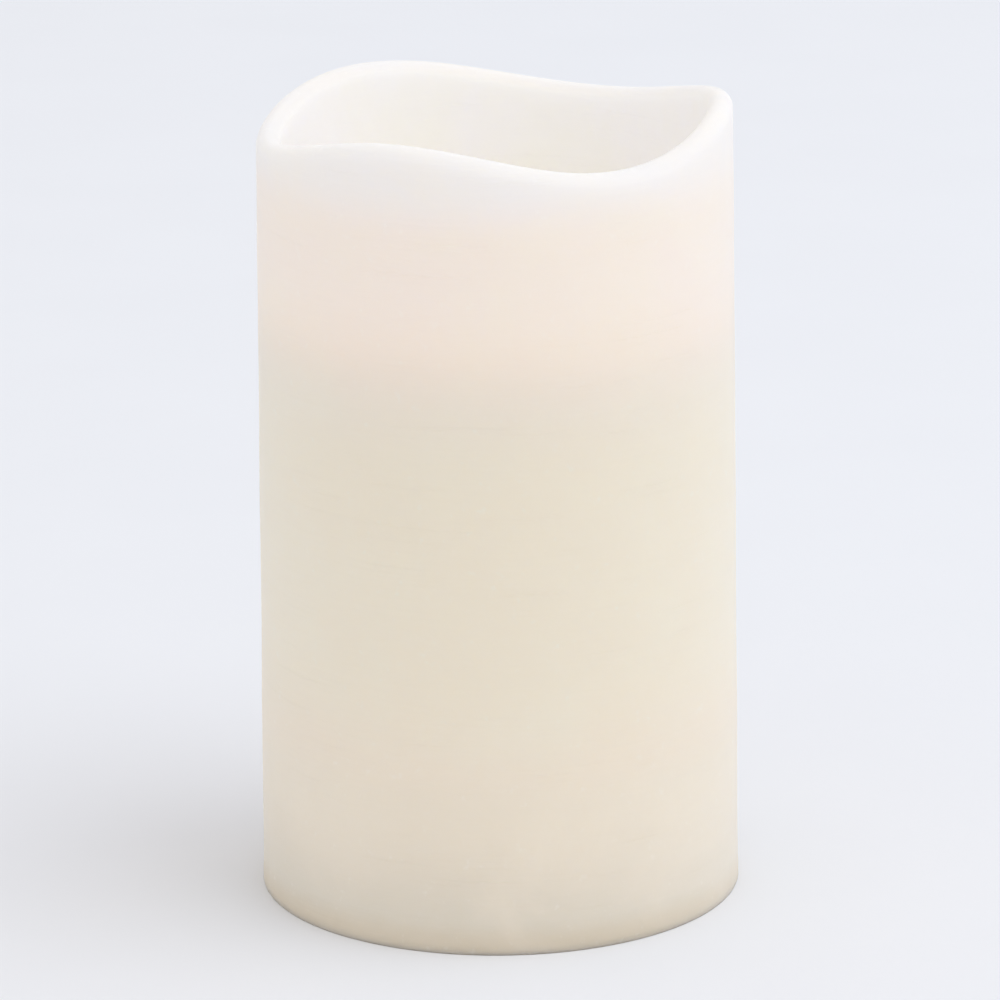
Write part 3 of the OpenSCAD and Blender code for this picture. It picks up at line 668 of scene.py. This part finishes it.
def screw_mesh(head_r, head_h, shank_r, core_r, length, pitch):
    """A pan-head self-tapping screw with a helical thread, its head's seat at the origin."""
    columns, per_turn = 28, 10
    seat, tip = 0.35, 0.9
    threaded = length - tip - seat
    rows = int(threaded / pitch * per_turn)
    head = eased_outline(
        [(0, head_h), (head_r * 0.62, head_h), (head_r * 0.93, head_h * 0.62), (head_r, 0),
         (core_r, 0), (core_r, -seat)], 0.35, 5,
    )

    def outline_at(a):
        ridge = []
        for i in range(rows + 1):
            z = -seat - threaded * i / rows
            fade = min(1, i / per_turn * 2, (rows - i) / per_turn * 1.5)
            phase = (z / pitch + a / tau) % 1
            height = max(0, 1 - abs(2 * phase - 1) / 0.6)
            ridge.append((core_r + (shank_r - core_r) * height * fade, z))
        return head[:-1] + scaled(ridge + [(core_r * 0.45, 0.25 - length), (0, -length)])

    mesh = welded(spun_mesh("screw", outline_at, columns, closed=False))
    cross = cross_cutter(head_r * MM, (head_h + 0.4) * MM, head_h * 0.35 * MM)
    cutter = bpy.data.objects.new("cross", cross)
    show(cutter)
    made = baked(mesh, "BOOLEAN", operation="DIFFERENCE", solver="EXACT", object=cutter)
    bpy.data.objects.remove(cutter)
    return made


def make_screws(material):
    """The screws on their seats. A place is X, Y, and the turns round X and the screw's axis."""
    base_places = [
        (*polar(BASE_SCREW_RING_R, angle), 180, angle * 1.7) for angle in BASE_SCREW_ANGLES
    ]
    for node, sizes, seat_z, places in (
        ("base_screws", BASE_SCREW, BASE_SEAT_Z, base_places),
        ("holder_screws", HOLDER_SCREW, HOLDER_SEAT_Z,
         [(x, 0, 0, 40 + x) for x in (-HOLDER_SCREW_X, HOLDER_SCREW_X)]),
        ("board_screws", BOARD_SCREW, BOARD_TOP,
         [(x, 0, 0, 15 + x) for x in (-BOARD_SCREW_X, BOARD_SCREW_X)]),
        ("switch_screws", SWITCH_SCREW, SWITCH_SEAT_Z,
         [(x, SWITCH_Y, 0, 25 + 2 * x) for x in (-SWITCH_SCREW_X, SWITCH_SCREW_X)]),
    ):
        one = painted(screw_mesh(*sizes), material)
        link_parts(node + "_threaded", [
            (one, at(x, y, seat_z, tip) @ at(0, 0, 0, turn, "Z")) for x, y, tip, turn in places
        ], node, slot="screw_steel")


# ---- springs and cells

CELL_X = 8
CELL_1_FOOT_Z = 8
CELL_2_FOOT_Z = 54.5
DOOR_SPRING_Z = 3.5
DECK_SPRING_Z = 59
SPRING_H = 4.5
SPRING_R = 4.6
SPRING_TOP_R = 2.5
SPRING_WIRE_R = 0.35


def spring_mesh(name, material):
    """A conical battery spring of four turns on the origin, its first and last turn lying flat."""
    turns, rings, flat_share = 4, 220, 0.18
    low, high = SPRING_WIRE_R, SPRING_H - SPRING_WIRE_R
    path = []
    for i in range(rings + 1):
        u = i / rings
        climb = min(max((u - flat_share) / (1 - 2 * flat_share), 0), 1)
        r = SPRING_R + (SPRING_TOP_R - SPRING_R) * u
        a = tau * turns * u
        height = low + (high - low) * climb
        path.append(Vector([c * MM for c in (r * cos(a), r * sin(a), height)]))
    return tube_mesh(name, path, SPRING_WIRE_R * MM, (0, 0, 1), 12, material)


def make_springs(material):
    for name, node, place, body in (
        ("door_coil", "door_spring", at(-CELL_X, 0, DOOR_SPRING_Z), DOOR),
        ("deck_coil", "negative_spring", at(CELL_X, 0, DECK_SPRING_Z, 180), CANDLE),
    ):
        mesh = spring_mesh(name, material)
        mesh.transform(place)
        link(name, mesh, node, slot="contact_nickel", body=body)


def can_mesh(material):
    """An AA cell's steel can, negative end at the origin, with its nub and crimp."""
    outline = eased_outline(
        [(0, 0.3), (4.4, 0.3), (4.8, 0), (6.4, 0), (7, 0.5), (7, 48.3), (6.4, 48.9), (5.5, 48.9),
         (5, 48.5), (3.6, 48.5), (3.1, 48.9), (2.75, 49.2), (2.75, 50.2), (2.4, 50.5), (0, 50.5)],
        0.4,
    )
    return lathe("can", outline, 72, [material])


def sleeve_mesh(materials):
    """A cell's shrunk sleeve, folded over both shoulders. The materials: body, band and line."""
    outline = eased_outline(
        [(6, 0.02), (6, -0.07), (6.5, -0.07), (7.1, 0.45), (7.1, 5), (7.1, 38.2), (7.1, 38.4),
         (7.1, 40), (7.1, 40.2), (7.1, 48.3), (6.5, 48.98), (5.9, 48.98), (5.9, 48.92),
         (6.42, 48.92), (7.01, 48.3), (7.01, 0.5), (6.45, 0), (6, 0.02)], 0.3, 3,
    )
    line_z, band_z = 38.3, 40.1
    mesh = spun_mesh("sleeve", lambda a: outline[:-1], 72)
    for face in mesh.polygons:
        z = face.center.z / MM
        face.material_index = 1 if z > band_z else 2 if z > line_z else 0
    return painted(mesh, *materials)


def make_cells():
    steel = metal_material("cell_steel", (0.66, 0.66, 0.66), 0.28)
    wraps = [
        sleeve_material("cell_wrap_body", (0.05, 0.16, 0.13)),
        sleeve_material("cell_wrap_band", (0.5, 0.52, 0.5)),
        sleeve_material("cell_wrap_line", (0.75, 0.4, 0.08)),
    ]
    for number, place in (
        (1, at(-CELL_X, 0, CELL_1_FOOT_Z)),
        (2, at(CELL_X, 0, CELL_2_FOOT_Z, 180)),
    ):
        name = f"cell_{number}"
        can, sleeve = [(can_mesh(steel), place)], [(sleeve_mesh(wraps), place)]
        link_parts(name + "_can", can, f"battery_{number}_can", slot="cell_steel")
        link_parts(name + "_sleeve", sleeve, f"battery_{number}_wrap", slot="cell_wrap")


# ---- wiring

# Stations of one switch wire, as in the CAD source: distance from the axis along +Y, and height.
WIRE_ROUTE = (
    (22, 12.05), (22, 17), (20.5, 25), (14.5, 36), (12.4, 48), (12.2, 60),
    (11.8, 67), (10.6, 71), (8.8, 71.5), (8, 69), (8, 66.25),
)
WIRE_RINGS = 150
STRIPPED_RINGS = 3
WIRE_R = 0.65
STRAND_R = 0.34
TERMINAL_PITCH = 4
TERMINAL_TOP = 12


def wire_path(terminal, wander):
    """The way of a terminal's wire, which strays aside by up to wander."""
    last = len(WIRE_ROUTE) - 1
    stations = []
    for i, (y, z) in enumerate(WIRE_ROUTE):
        aside = wander * max(0, sin(pi * (i - 1) / (last - 2)))
        stations.append(Vector((terminal * TERMINAL_PITCH + aside, y, z)) * MM)
    return [curve_point(stations, i * last / (WIRE_RINGS - 1)) for i in range(WIRE_RINGS)]


def make_wires(tinned):
    ends = []
    for node, slot, terminal, wander, color in (
        ("wire_timer", "wire_yellow", -1, -1.6, (0.8, 0.6, 0.06)),
        ("wire_common", "wire_black", 0, 0.7, (0.025, 0.025, 0.027)),
        ("wire_on", "wire_red", 1, 2.2, (0.58, 0.035, 0.03)),
    ):
        path = wire_path(terminal, wander)
        name = node + "_vinyl"
        vinyl, end = path[:-STRIPPED_RINGS], path[-STRIPPED_RINGS - 2:]
        mesh = tube_mesh(name, vinyl, WIRE_R * MM, (1, 0, 0), 16, wire_material(name, color))
        link(name, mesh, node, slot=slot)
        ends.append((tube_mesh("strand", end, STRAND_R * MM, (1, 0, 0), 10, tinned), Matrix()))
    link_parts("wire_strands", ends, slot="solder")


def make_sleeves(material):
    """Heat-shrink sleeves that hug the terminal below and the wire above."""
    low, high = TERMINAL_TOP - 1.6, TERMINAL_TOP + 3
    outline = eased_outline(
        [(1.18, low), (1.2, low + 0.8), (1.17, low + 1.6), (1.0, low + 2.4), (0.9, low + 3.4),
         (0.88, high), (0.7, high), (0.7, low + 2.6), (0.9, low + 1.4), (0.9, low), (1.18, low)],
        0.25, 3,
    )
    tube = painted(spun_mesh("shrink_sleeve", lambda a: outline[:-1], 32), material)
    tubes = [(tube, at(i * TERMINAL_PITCH, SWITCH_Y, 0)) for i in (-1, 0, 1)]
    link_parts("shrink_sleeves", tubes, "wire_sleeves", slot="sleeve")


# ---- timer board

COPPER_T = 0.035
TRACE_W = 0.8
SOLDERED_Y = 8
TAB_Y = 4.45
TAB_HALF = (1.2, 0.15)
# Routes of the copper on the board's top, and the places of its pads, as (x, y).
TRACES = (
    ((-4, 8), (-4, 3), (-6.5, 0.5), (-6.5, -1.9)),
    ((0, 8), (0, 3.4)),
    ((4, 8), (5.2, 6.8), (11, 6.8)),
    ((-1.27, 0), (-3, -1.7), (-5, -3.2)),
    ((1.27, 0), (1.27, -2.2), (2.5, -3.4), (2.5, -4.4)),
    ((10.7, -4.4), (10.7, -2), (8, 0.7), (8, 3.4)),
    ((4, -7.3), (-1.5, -7.3), (-4.6, -5.6)),
    ((4, -8.5), (-3.4, -8.5), (-5.6, -7.2)),
    ((-15.3, 7.4), (-15.3, 4.5), (-11, 0.2), (-9.2, -2.2)),
    ((-7.1, 7.4), (-8, 6.5), (-8, 5.4)),
)
PADS = (
    (-15.3, 7.4), (-7.1, 7.4), (2.5, -4.4), (10.7, -4.4), (-4, 8), (0, 8), (4, 8),
    (-1.27, 0), (1.27, 0), (0, 3.4),
)


def strip_outline(route, half):
    """The outline of a strip 2 * half wide along route, with round ends and mitred bends."""
    points = [Vector(p) for p in route]
    left, right, caps = [], [], []
    for i, point in enumerate(points):
        before = (point - points[i - 1]).normalized() if i else None
        after = (points[i + 1] - point).normalized() if i < len(points) - 1 else None
        if before and after:
            normal = Vector((-before.y - after.y, before.x + after.x)).normalized()
            reach = half / max(normal.dot(Vector((-before.y, before.x))), 0.5)
            left.append(point + normal * reach)
            right.append(point - normal * reach)
            continue
        along = after or before
        start = atan2(along.y, along.x) + (pi / 2 if after else -pi / 2)
        turns = [start + pi * k / 8 for k in range(9)]
        caps.append([point + Vector((cos(a), sin(a))) * half for a in turns])
    return caps[0] + right + caps[1] + left[::-1]


def plate_mesh(name, outline, z0, z1, material):
    """A plate with a plane outline of points in millimetres, from height z0 to z1."""
    count = len(outline)
    points = [(p.x * MM, p.y * MM, z * MM) for z in (z0, z1) for p in outline]
    faces = [tuple(reversed(range(count))), tuple(range(count, 2 * count))]
    faces += [(k, (k + 1) % count, (k + 1) % count + count, k + count) for k in range(count)]
    return painted(new_mesh(name, points, faces), material)


def make_board(tinned):
    green = board_material("board_green", (0.02, 0.16, 0.06))
    eased("circuit_board", 0.08, green, "solder_mask")
    copper = board_material("board_copper_under_mask", (0.05, 0.27, 0.09))
    strips = []
    for route in TRACES:
        outline = strip_outline(route, TRACE_W / 2)
        strip = plate_mesh("trace", outline, BOARD_TOP, BOARD_TOP + COPPER_T, copper)
        strips.append((strip, Matrix()))
    link_parts("board_traces", strips, slot="solder_mask")
    ring = scaled([(0.5, 0), (1.05, 0), (1.05, 0.05), (0.95, 0.07), (0.5, 0.07)])
    pad = painted(spun_mesh("pad", lambda a: ring, 28), tinned)
    pads = [(pad, at(x, y, BOARD_TOP + COPPER_T)) for x, y in PADS]
    link_parts("board_pads", pads, slot="solder")


def make_chip(material):
    """A drop of epoxy that has run out unevenly over the chip."""
    chip_x, chip_y, drop_r, drop_h, lift = -7.5, -4.8, 3.4, 1.38, 0.02

    def outline_at(a):
        run = 0.93 + 0.06 * around(a, 0, 1.3)
        side = []
        for i in range(17):
            u = i / 16
            side.append((drop_r * run * u, BOARD_TOP + drop_h * (1 - u ** 2.4) ** 0.85 + lift))
        return scaled(side + [(0, BOARD_TOP + lift)])

    drop = painted(spun_mesh("epoxy_drop", outline_at, 60, closed=False), material)
    mesh = welded(drop, (chip_x * MM, chip_y * MM, 0))
    link("epoxy_drop", mesh, "controller_chip", slot="epoxy_drop")


def bent_lead(x0, x1, y, height, r, material):
    """A lead that leaves along X at height over the board and bends down into it at x1."""
    step = 0.6 if x1 > x0 else -0.6
    stations = [
        Vector((x, y, BOARD_TOP + rise)) * MM for x, rise in (
            (x0, height), (x1 - 2 * step, height), (x1 - 0.3 * step, height * 0.93),
            (x1, height * 0.5), (x1, 0.05),
        )
    ]
    path = [curve_point(stations, i / 8) for i in range(33)]
    return tube_mesh("lead", path, r * MM, (0, 1, 0), 10, material), Matrix()


def make_crystal(material):
    """The crystal's can lies on its side behind its two leads."""
    x, y, height = 8, -7.9, 1.35
    outline = eased_outline(
        [(0, -3), (1, -3), (1.3, -2.75), (1.3, -2.4), (1.18, -2.2), (1.18, 2.7), (0.95, 3), (0, 3)],
        0.2,
    )
    body = lathe("crystal_body", outline, 40, [material])
    parts = [(body, at(x, y, BOARD_TOP + height, 90, "Y"))]
    for lead_y in (y - 0.5, y + 0.5):
        parts.append(bent_lead(x - 2.9, x - 4, lead_y, height, 0.2, material))
    link_parts("crystal_can", parts, "timer_crystal", slot="crystal_can")


def make_resistors(tinned):
    """Two resistors of different values, with three bands each."""
    height, half, lead_reach, lead_r = 1.2, 2.78, 4.1, 0.28
    enamel = enamel_material("resistor_enamel", (0.6, 0.43, 0.25))
    bands = {}
    for name, color in (
        ("brown", (0.16, 0.05, 0.02)), ("black", (0.015, 0.015, 0.015)),
        ("orange", (0.7, 0.18, 0.02)), ("red", (0.45, 0.02, 0.02)), ("gold", (0.5, 0.33, 0.08)),
    ):
        bands[name] = enamel_material("band_" + name, color)
    outline = eased_outline(
        [(0, -2.8), (0.75, -2.8), (1.1, -2.45), (1.1, -1.6), (0.9, -1.25), (0.9, -0.85),
         (0.9, -0.45), (0.9, -0.05), (0.9, 0.35), (0.9, 0.75), (0.9, 1.25), (1.1, 1.6),
         (1.1, 2.45), (0.75, 2.8), (0, 2.8)], 0.01, 1,
    )
    # Where the bands lie.
    spans = ((-2.3, -1.75), (-0.85, -0.45), (-0.05, 0.35))

    def band_at(r, z):
        for number, (low, high) in enumerate(spans, 1):
            if low * MM < z <= high * MM:
                return number
        return 0

    for number, (x, y), colors in (
        (1, (-11.2, 7.4), ("orange", "black", "brown")),
        (2, (6.6, -4.4), ("red", "red", "gold")),
    ):
        name = f"resistor_{number}"
        mesh = lathe("resistor", outline, 32, [enamel, *(bands[c] for c in colors)], band_at)
        body = [(mesh, at(x, y, BOARD_TOP + height, 90, "Y"))]
        link_parts(name, body, slot="resistor_body")
        link_parts(name + "_leads", [
            bent_lead(x + half * side, x + lead_reach * side, y, height, lead_r, tinned)
            for side in (-1, 1)
        ], slot="solder")
    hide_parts("resistors")


def make_capacitor():
    """An upright can in a printed film, grooved near its foot, with a bare top."""
    x, y, top_z, bare_r = 13, 6.4, 6.85, 1.8
    film = enamel_material("capacitor_film", (0.02, 0.03, 0.11))
    bare = metal_material("capacitor_top", (0.7, 0.7, 0.7), 0.35)
    outline = eased_outline(
        [(0, 0), (2.2, 0), (2.45, 0.3), (2.5, 0.9), (2.3, 1.2), (2.5, 1.5), (2.5, 6.7), (2.3, 6.95),
         (1.8, 6.98), (1.75, 6.9), (0, 6.9)], 0.15, 3,
    )
    drum = lathe("capacitor_drum", outline, 48, [film, bare],
                 lambda r, z: int(z > top_z * MM and r < bare_r * MM))
    parts = [(drum, at(x, y, BOARD_TOP))]
    link_parts("capacitor_drum", parts, "capacitor", slot="capacitor_sleeve")


def fillet_outline(inner, outer, rise, power):
    """A concave fillet of solder from radius outer on its pad up to radius inner, rise above it."""
    foot = 0.11
    side = []
    for i in range(9):
        u = i / 8
        side.append((outer + (inner - outer) * u, foot + rise * u ** power))
    return scaled([(inner, foot - 0.05), (outer, foot - 0.05)] + side)


def make_solder(material):
    """Solder fillets round the contacts' tabs and the wires' strands."""
    def tab_joint(a):
        across, along = abs(cos(a)), abs(sin(a))
        inner = 1 / max(across / TAB_HALF[0], along / TAB_HALF[1])
        return fillet_outline(inner, 1.9 - 0.1 * along, 0.6, 2.2)

    tab = painted(spun_mesh("tab_joint", tab_joint, 64), material)
    wire = spun_mesh("wire_joint", lambda a: fillet_outline(0.38, 1.25, 0.75, 2), 32)
    parts = [(tab, at(x, TAB_Y, BOARD_TOP)) for x in (-CELL_X, CELL_X)]
    parts += [(wire, at(i * TERMINAL_PITCH, SOLDERED_Y, BOARD_TOP)) for i in (-1, 0, 1)]
    link_parts("solder_fillets", parts, "solder_joints", slot="solder")


def bead_outline(a, seed):
    """The outline of a bead of hot melt that bulges out between the core and the wax."""
    middle, half, bulge = 86.5, 0.49, 0.35
    spread = 3.3 + 0.3 * around(a, seed, 1.2)
    turns = [radians(degrees) for degrees in range(-90, 91, 15)]
    side = [(spread + bulge * cos(t), middle + half * sin(t)) for t in turns]
    return scaled([(0, middle - half)] + side + [(0, middle + half)])


def make_glue(material):
    """Three beads, squeezed out unevenly."""
    ring_r = 20
    parts = []
    for angle in (90, 210, 330):
        bead = welded(spun_mesh("bead", lambda a: bead_outline(a, angle), 48, closed=False))
        parts.append((painted(bead, material), at(*polar(ring_r, angle), 0)))
    link_parts("hot_melt_beads", parts, "glue_beads", slot="hot_melt")


# ---- more materials

def silicone_material():
    """Frosted warm silicone, paler towards the tip, with dust in its fine grain."""
    p = Paint("flame_silicone")
    height = p.axis("Z")
    color = p.mix(p.spread(height, 0.097, 0.111), (0.93, 0.77, 0.57), (0.96, 0.87, 0.72))
    color = p.mix(p.spread(p.noise(0.0012, 3), 0.55, 0.75, 0, 0.2), color, (0.98, 0.93, 0.84))
    normal = p.bumps((p.noise(0.003, 2), 0.00006), (p.noise(0.0003, 2), 0.00001))
    rough = p.spread(p.noise(0.002, 2), 0.3, 0.7, 0.36, 0.5)
    return p.done(
        color, rough, normal, Subsurface_Weight=0.5, Subsurface_Radius=(0.8, 0.8, 0.8),
        Subsurface_Scale=0.0008, IOR=1.41, Sheen_Weight=0.05,
    )


def sleeve_material(name, color):
    """Printed shrink film: soft gloss, a faint drawn grain and rub marks."""
    p = Paint(name)
    rubbed = [min(1, c * 1.4 + 0.03) for c in color]
    marks = p.noise(0.004, 4, (1, 1, 0.25), (0, 20, 0))
    tint = p.mix(p.spread(marks, 0.6, 0.75, 0, 0.35), color, rubbed)
    rough = p.spread(p.noise(0.005, 3), 0.3, 0.7, 0.2, 0.34)
    normal = p.bumps((p.noise(0.006, 2, (1, 1, 0.2)), 0.00004), (p.noise(0.0005, 2), 0.000004))
    return p.done(tint, rough, normal, Coat_Weight=0.3, Coat_Roughness=0.15)


def wire_material(name, color):
    """Vinyl insulation: satin, faintly wrinkled round the bends, with dust."""
    p = Paint(name)
    dusty = [c * 0.8 + 0.05 for c in color]
    tint = p.mix(p.spread(p.noise(0.0018, 4), 0.5, 0.75, 0, 0.3), color, dusty)
    rough = p.spread(p.noise(0.0025, 3), 0.3, 0.7, 0.3, 0.45)
    normal = p.bumps((p.noise(0.0016, 2), 0.00003), (p.noise(0.0003, 2), 0.000006))
    return p.done(tint, rough, normal)


def board_material(name, color):
    """Solder mask over woven glass: the weave shows faintly in the gloss."""
    p = Paint(name)
    light = [min(1, c * 1.5 + 0.01) for c in color]
    weave = p.math("MULTIPLY", p.noise(0.0005, 1, (0.15, 1, 1)), p.noise(0.0005, 1, (1, 0.15, 1)))
    tint = p.mix(p.spread(weave, 0.15, 0.4, 0, 0.3), color, light)
    rough = p.spread(p.noise(0.004, 3), 0.3, 0.7, 0.22, 0.36)
    normal = p.bumps((weave, 0.00001), (p.noise(0.002, 2), 0.00001))
    return p.done(tint, rough, normal, Coat_Weight=0.25)


def enamel_material(name, color):
    """Dipped enamel: uneven film, pinholes and a soft gloss."""
    p = Paint(name)
    worn = [min(1, c * 1.3 + 0.02) for c in color]
    tint = p.mix(p.spread(p.noise(0.0009, 3), 0.5, 0.75, 0, 0.35), color, worn)
    pits = p.spread(p.cells(0.0006), 0.0, 0.12)
    rough = p.spread(p.noise(0.0012, 2), 0.3, 0.7, 0.25, 0.4)
    normal = p.bumps((p.noise(0.0014, 2), 0.00002), (pits, 0.000008))
    return p.done(tint, rough, normal)


def glue_material():
    """Cloudy amber glue with small bubbles."""
    p = Paint("hot_melt")
    tint = p.mix(p.spread(p.noise(0.003, 3), 0.35, 0.7), (0.83, 0.76, 0.56), (0.9, 0.86, 0.72))
    bubbles = p.spread(p.cells(0.0009), 0.05, 0.25)
    rough = p.spread(p.noise(0.002, 2), 0.3, 0.7, 0.25, 0.4)
    normal = p.bumps((p.noise(0.0025, 1), 0.0001), (bubbles, 0.00001))
    return p.done(
        tint, rough, normal, Subsurface_Weight=0.4, Subsurface_Radius=(0.8, 0.8, 0.8),
        Subsurface_Scale=0.0005,
    )


def led_material():
    """Milky warm epoxy with a clearer skin."""
    p = Paint("led_epoxy")
    tint = p.mix(p.spread(p.noise(0.002, 3), 0.3, 0.7), (0.95, 0.82, 0.5), (0.97, 0.88, 0.64))
    rough = p.spread(p.noise(0.0015, 2), 0.3, 0.7, 0.12, 0.2)
    return p.done(
        tint, rough, p.bumps((p.noise(0.0012, 2), 0.00001)), Subsurface_Weight=0.6,
        Subsurface_Radius=(0.8, 0.8, 0.8), Subsurface_Scale=0.001, Coat_Weight=0.6,
        Coat_Roughness=0.05,
    )


# ---- the pieces

def in_symbols(point):
    """The sunk switch symbols keep crisp edges."""
    return point.y > 27 * MM and point.z < 2 * MM


def make_moulded():
    """The moulded parts with their edges eased, and the collar."""
    # Each: colour, size and depth of the grain, roughness, and how much light goes into it.
    ivory = moulded_material("ivory_plastic", (0.81, 0.74, 0.61), 0.0004, 0.000025, 0.52, 0.15)
    ivory_door = moulded_material(
        "ivory_door_plastic", (0.82, 0.755, 0.63), 0.0004, 0.000025, 0.5, 0.15
    )
    white = moulded_material("white_plastic", (0.82, 0.82, 0.78), 0.0006, 0.000015, 0.42, 0.15)
    knob = moulded_material("knob_plastic", (0.03, 0.03, 0.032), 0.0003, 0.00001, 0.42)
    phenolic = moulded_material("phenolic", (0.22, 0.1, 0.04), 0.0003, 0.000012, 0.6)
    eased("base_plate", 0.13, ivory, "base_plastic", crisp=in_symbols)
    eased("battery_door", 0.12, ivory_door, "base_plastic", DOOR)
    eased("core_shell", 0.3, white, "core_plastic")
    eased("battery_holder", 0.3, white, "core_plastic")
    eased("led_spacer", 0.2, white, "core_plastic")
    eased("switch_knob", 0.12, knob, "knob_plastic", KNOB)
    eased("switch_insulator", 0.1, phenolic, "phenolic")
    make_collar(ivory)


def make_metal():
    """The stamped metal with its edges eased, and what is drawn, wound or soldered."""
    across_x = (14, 1, 1)
    nickel = metal_material("contact_nickel", (0.72, 0.7, 0.66), 0.26, across_x)
    plate = metal_material("switch_steel", (0.6, 0.61, 0.62), 0.3, across_x)
    brass = metal_material("brass", (0.72, 0.5, 0.2), 0.3, across_x)
    tinned = metal_material("tinned_copper", (0.72, 0.72, 0.71), 0.3)
    eased("door_contact", 0.06, nickel, "contact_nickel", DOOR)
    eased("positive_contact", 0.06, nickel, "contact_nickel")
    eased("negative_contact", 0.06, nickel, "contact_nickel")
    eased("switch_terminals", 0.06, nickel, "contact_nickel")
    eased("switch_can", 0.12, plate, "switch_steel")
    eased("switch_wiper", 0.06, brass, "brass", KNOB)
    eased("led_leads", 0.06, tinned, "solder")
    make_springs(nickel)
    make_screws(metal_material("zinc_steel", (0.6, 0.6, 0.61), 0.34))
    make_crystal(metal_material("crystal_steel", (0.7, 0.7, 0.7), 0.22, across_x))
    make_wires(tinned)
    make_board(tinned)
    make_resistors(tinned)
    make_solder(tinned)


make_moulded()
make_metal()
make_cells()
make_bulb(silicone_material())
make_led(led_material())
make_glue(glue_material())
make_chip(enamel_material("black_epoxy", (0.012, 0.012, 0.013)))
make_capacitor()
make_sleeves(wire_material("shrink_tube", (0.02, 0.02, 0.02)))


# ---- stage, light and camera

def make_floor():
    """A plain pale floor that is the background too."""
    p = Paint("stage_paper")
    color = p.mix(
        p.spread(p.noise(0.05, 2), 0.3, 0.7), (0.815, 0.833, 0.867), (0.822, 0.84, 0.874)
    )
    material = p.done(color, 0.8, p.bumps((p.noise(0.0015, 2), 0.00002)))
    half = 6
    corners = [(-half, -half, 0), (half, -half, 0), (half, half, 0), (-half, half, 0)]
    mesh = new_mesh("stage_floor", corners, [(0, 1, 2, 3)])
    floor = bpy.data.objects.new("stage_floor", painted(mesh, material))
    show(floor)


def add_area_light(name, place, aim, size, power, color):
    lamp = bpy.data.lights.new(name, "AREA")
    lamp.shape = "DISK"
    lamp.size = size
    lamp.energy = power
    lamp.color = color
    holder = bpy.data.objects.new(name, lamp)
    holder.location = place
    holder.rotation_mode = "QUATERNION"
    holder.rotation_quaternion = (Vector(aim) - Vector(place)).to_track_quat("-Z", "Y")
    show(holder)


def light_scene():
    """An even white studio, a large soft key light at the right and a weak cool one behind."""
    world = bpy.data.worlds.new("studio")
    bpy.context.scene.world = world
    world.use_nodes = True
    background = world.node_tree.nodes["Background"]
    background.inputs["Color"].default_value = (0.983, 0.968, 0.97, 1)
    background.inputs["Strength"].default_value = 0.86
    middle = (0, 0, 0.06)
    add_area_light("key_light", (1.2, -0.45, 2.4), middle, 2.0, 19.5, (0.89, 0.94, 1.0))
    add_area_light("window_light", (1.4, 0.9, 0.9), middle, 1.2, 1.5, (0.3, 0.55, 1.0))
    bpy.context.scene.view_settings.view_transform = "Standard"


def make_camera():
    """A long lens about a metre away and 16.6 degrees up, aimed at the middle of the wall."""
    aim = Vector((0, 0, RIM_Z / 2))
    distance, elevation, roll = 0.988, radians(16.6), radians(-0.5)
    data = bpy.data.cameras.new("camera")
    data.sensor_width = 36
    data.lens = 226
    data.shift_x, data.shift_y = 0.0022, -0.0008
    data.clip_start, data.clip_end = 0.05, 50
    camera = bpy.data.objects.new("camera", data)
    back = Vector((0, -cos(elevation), sin(elevation)))
    turn = (-back).to_track_quat("-Z", "Y").to_matrix() @ Matrix.Rotation(roll, 3, "Z")
    camera.matrix_world = Matrix.Translation(aim + back * distance) @ turn.to_4x4()
    show(camera)
    bpy.context.scene.camera = camera


make_floor()
light_scene()
make_camera()
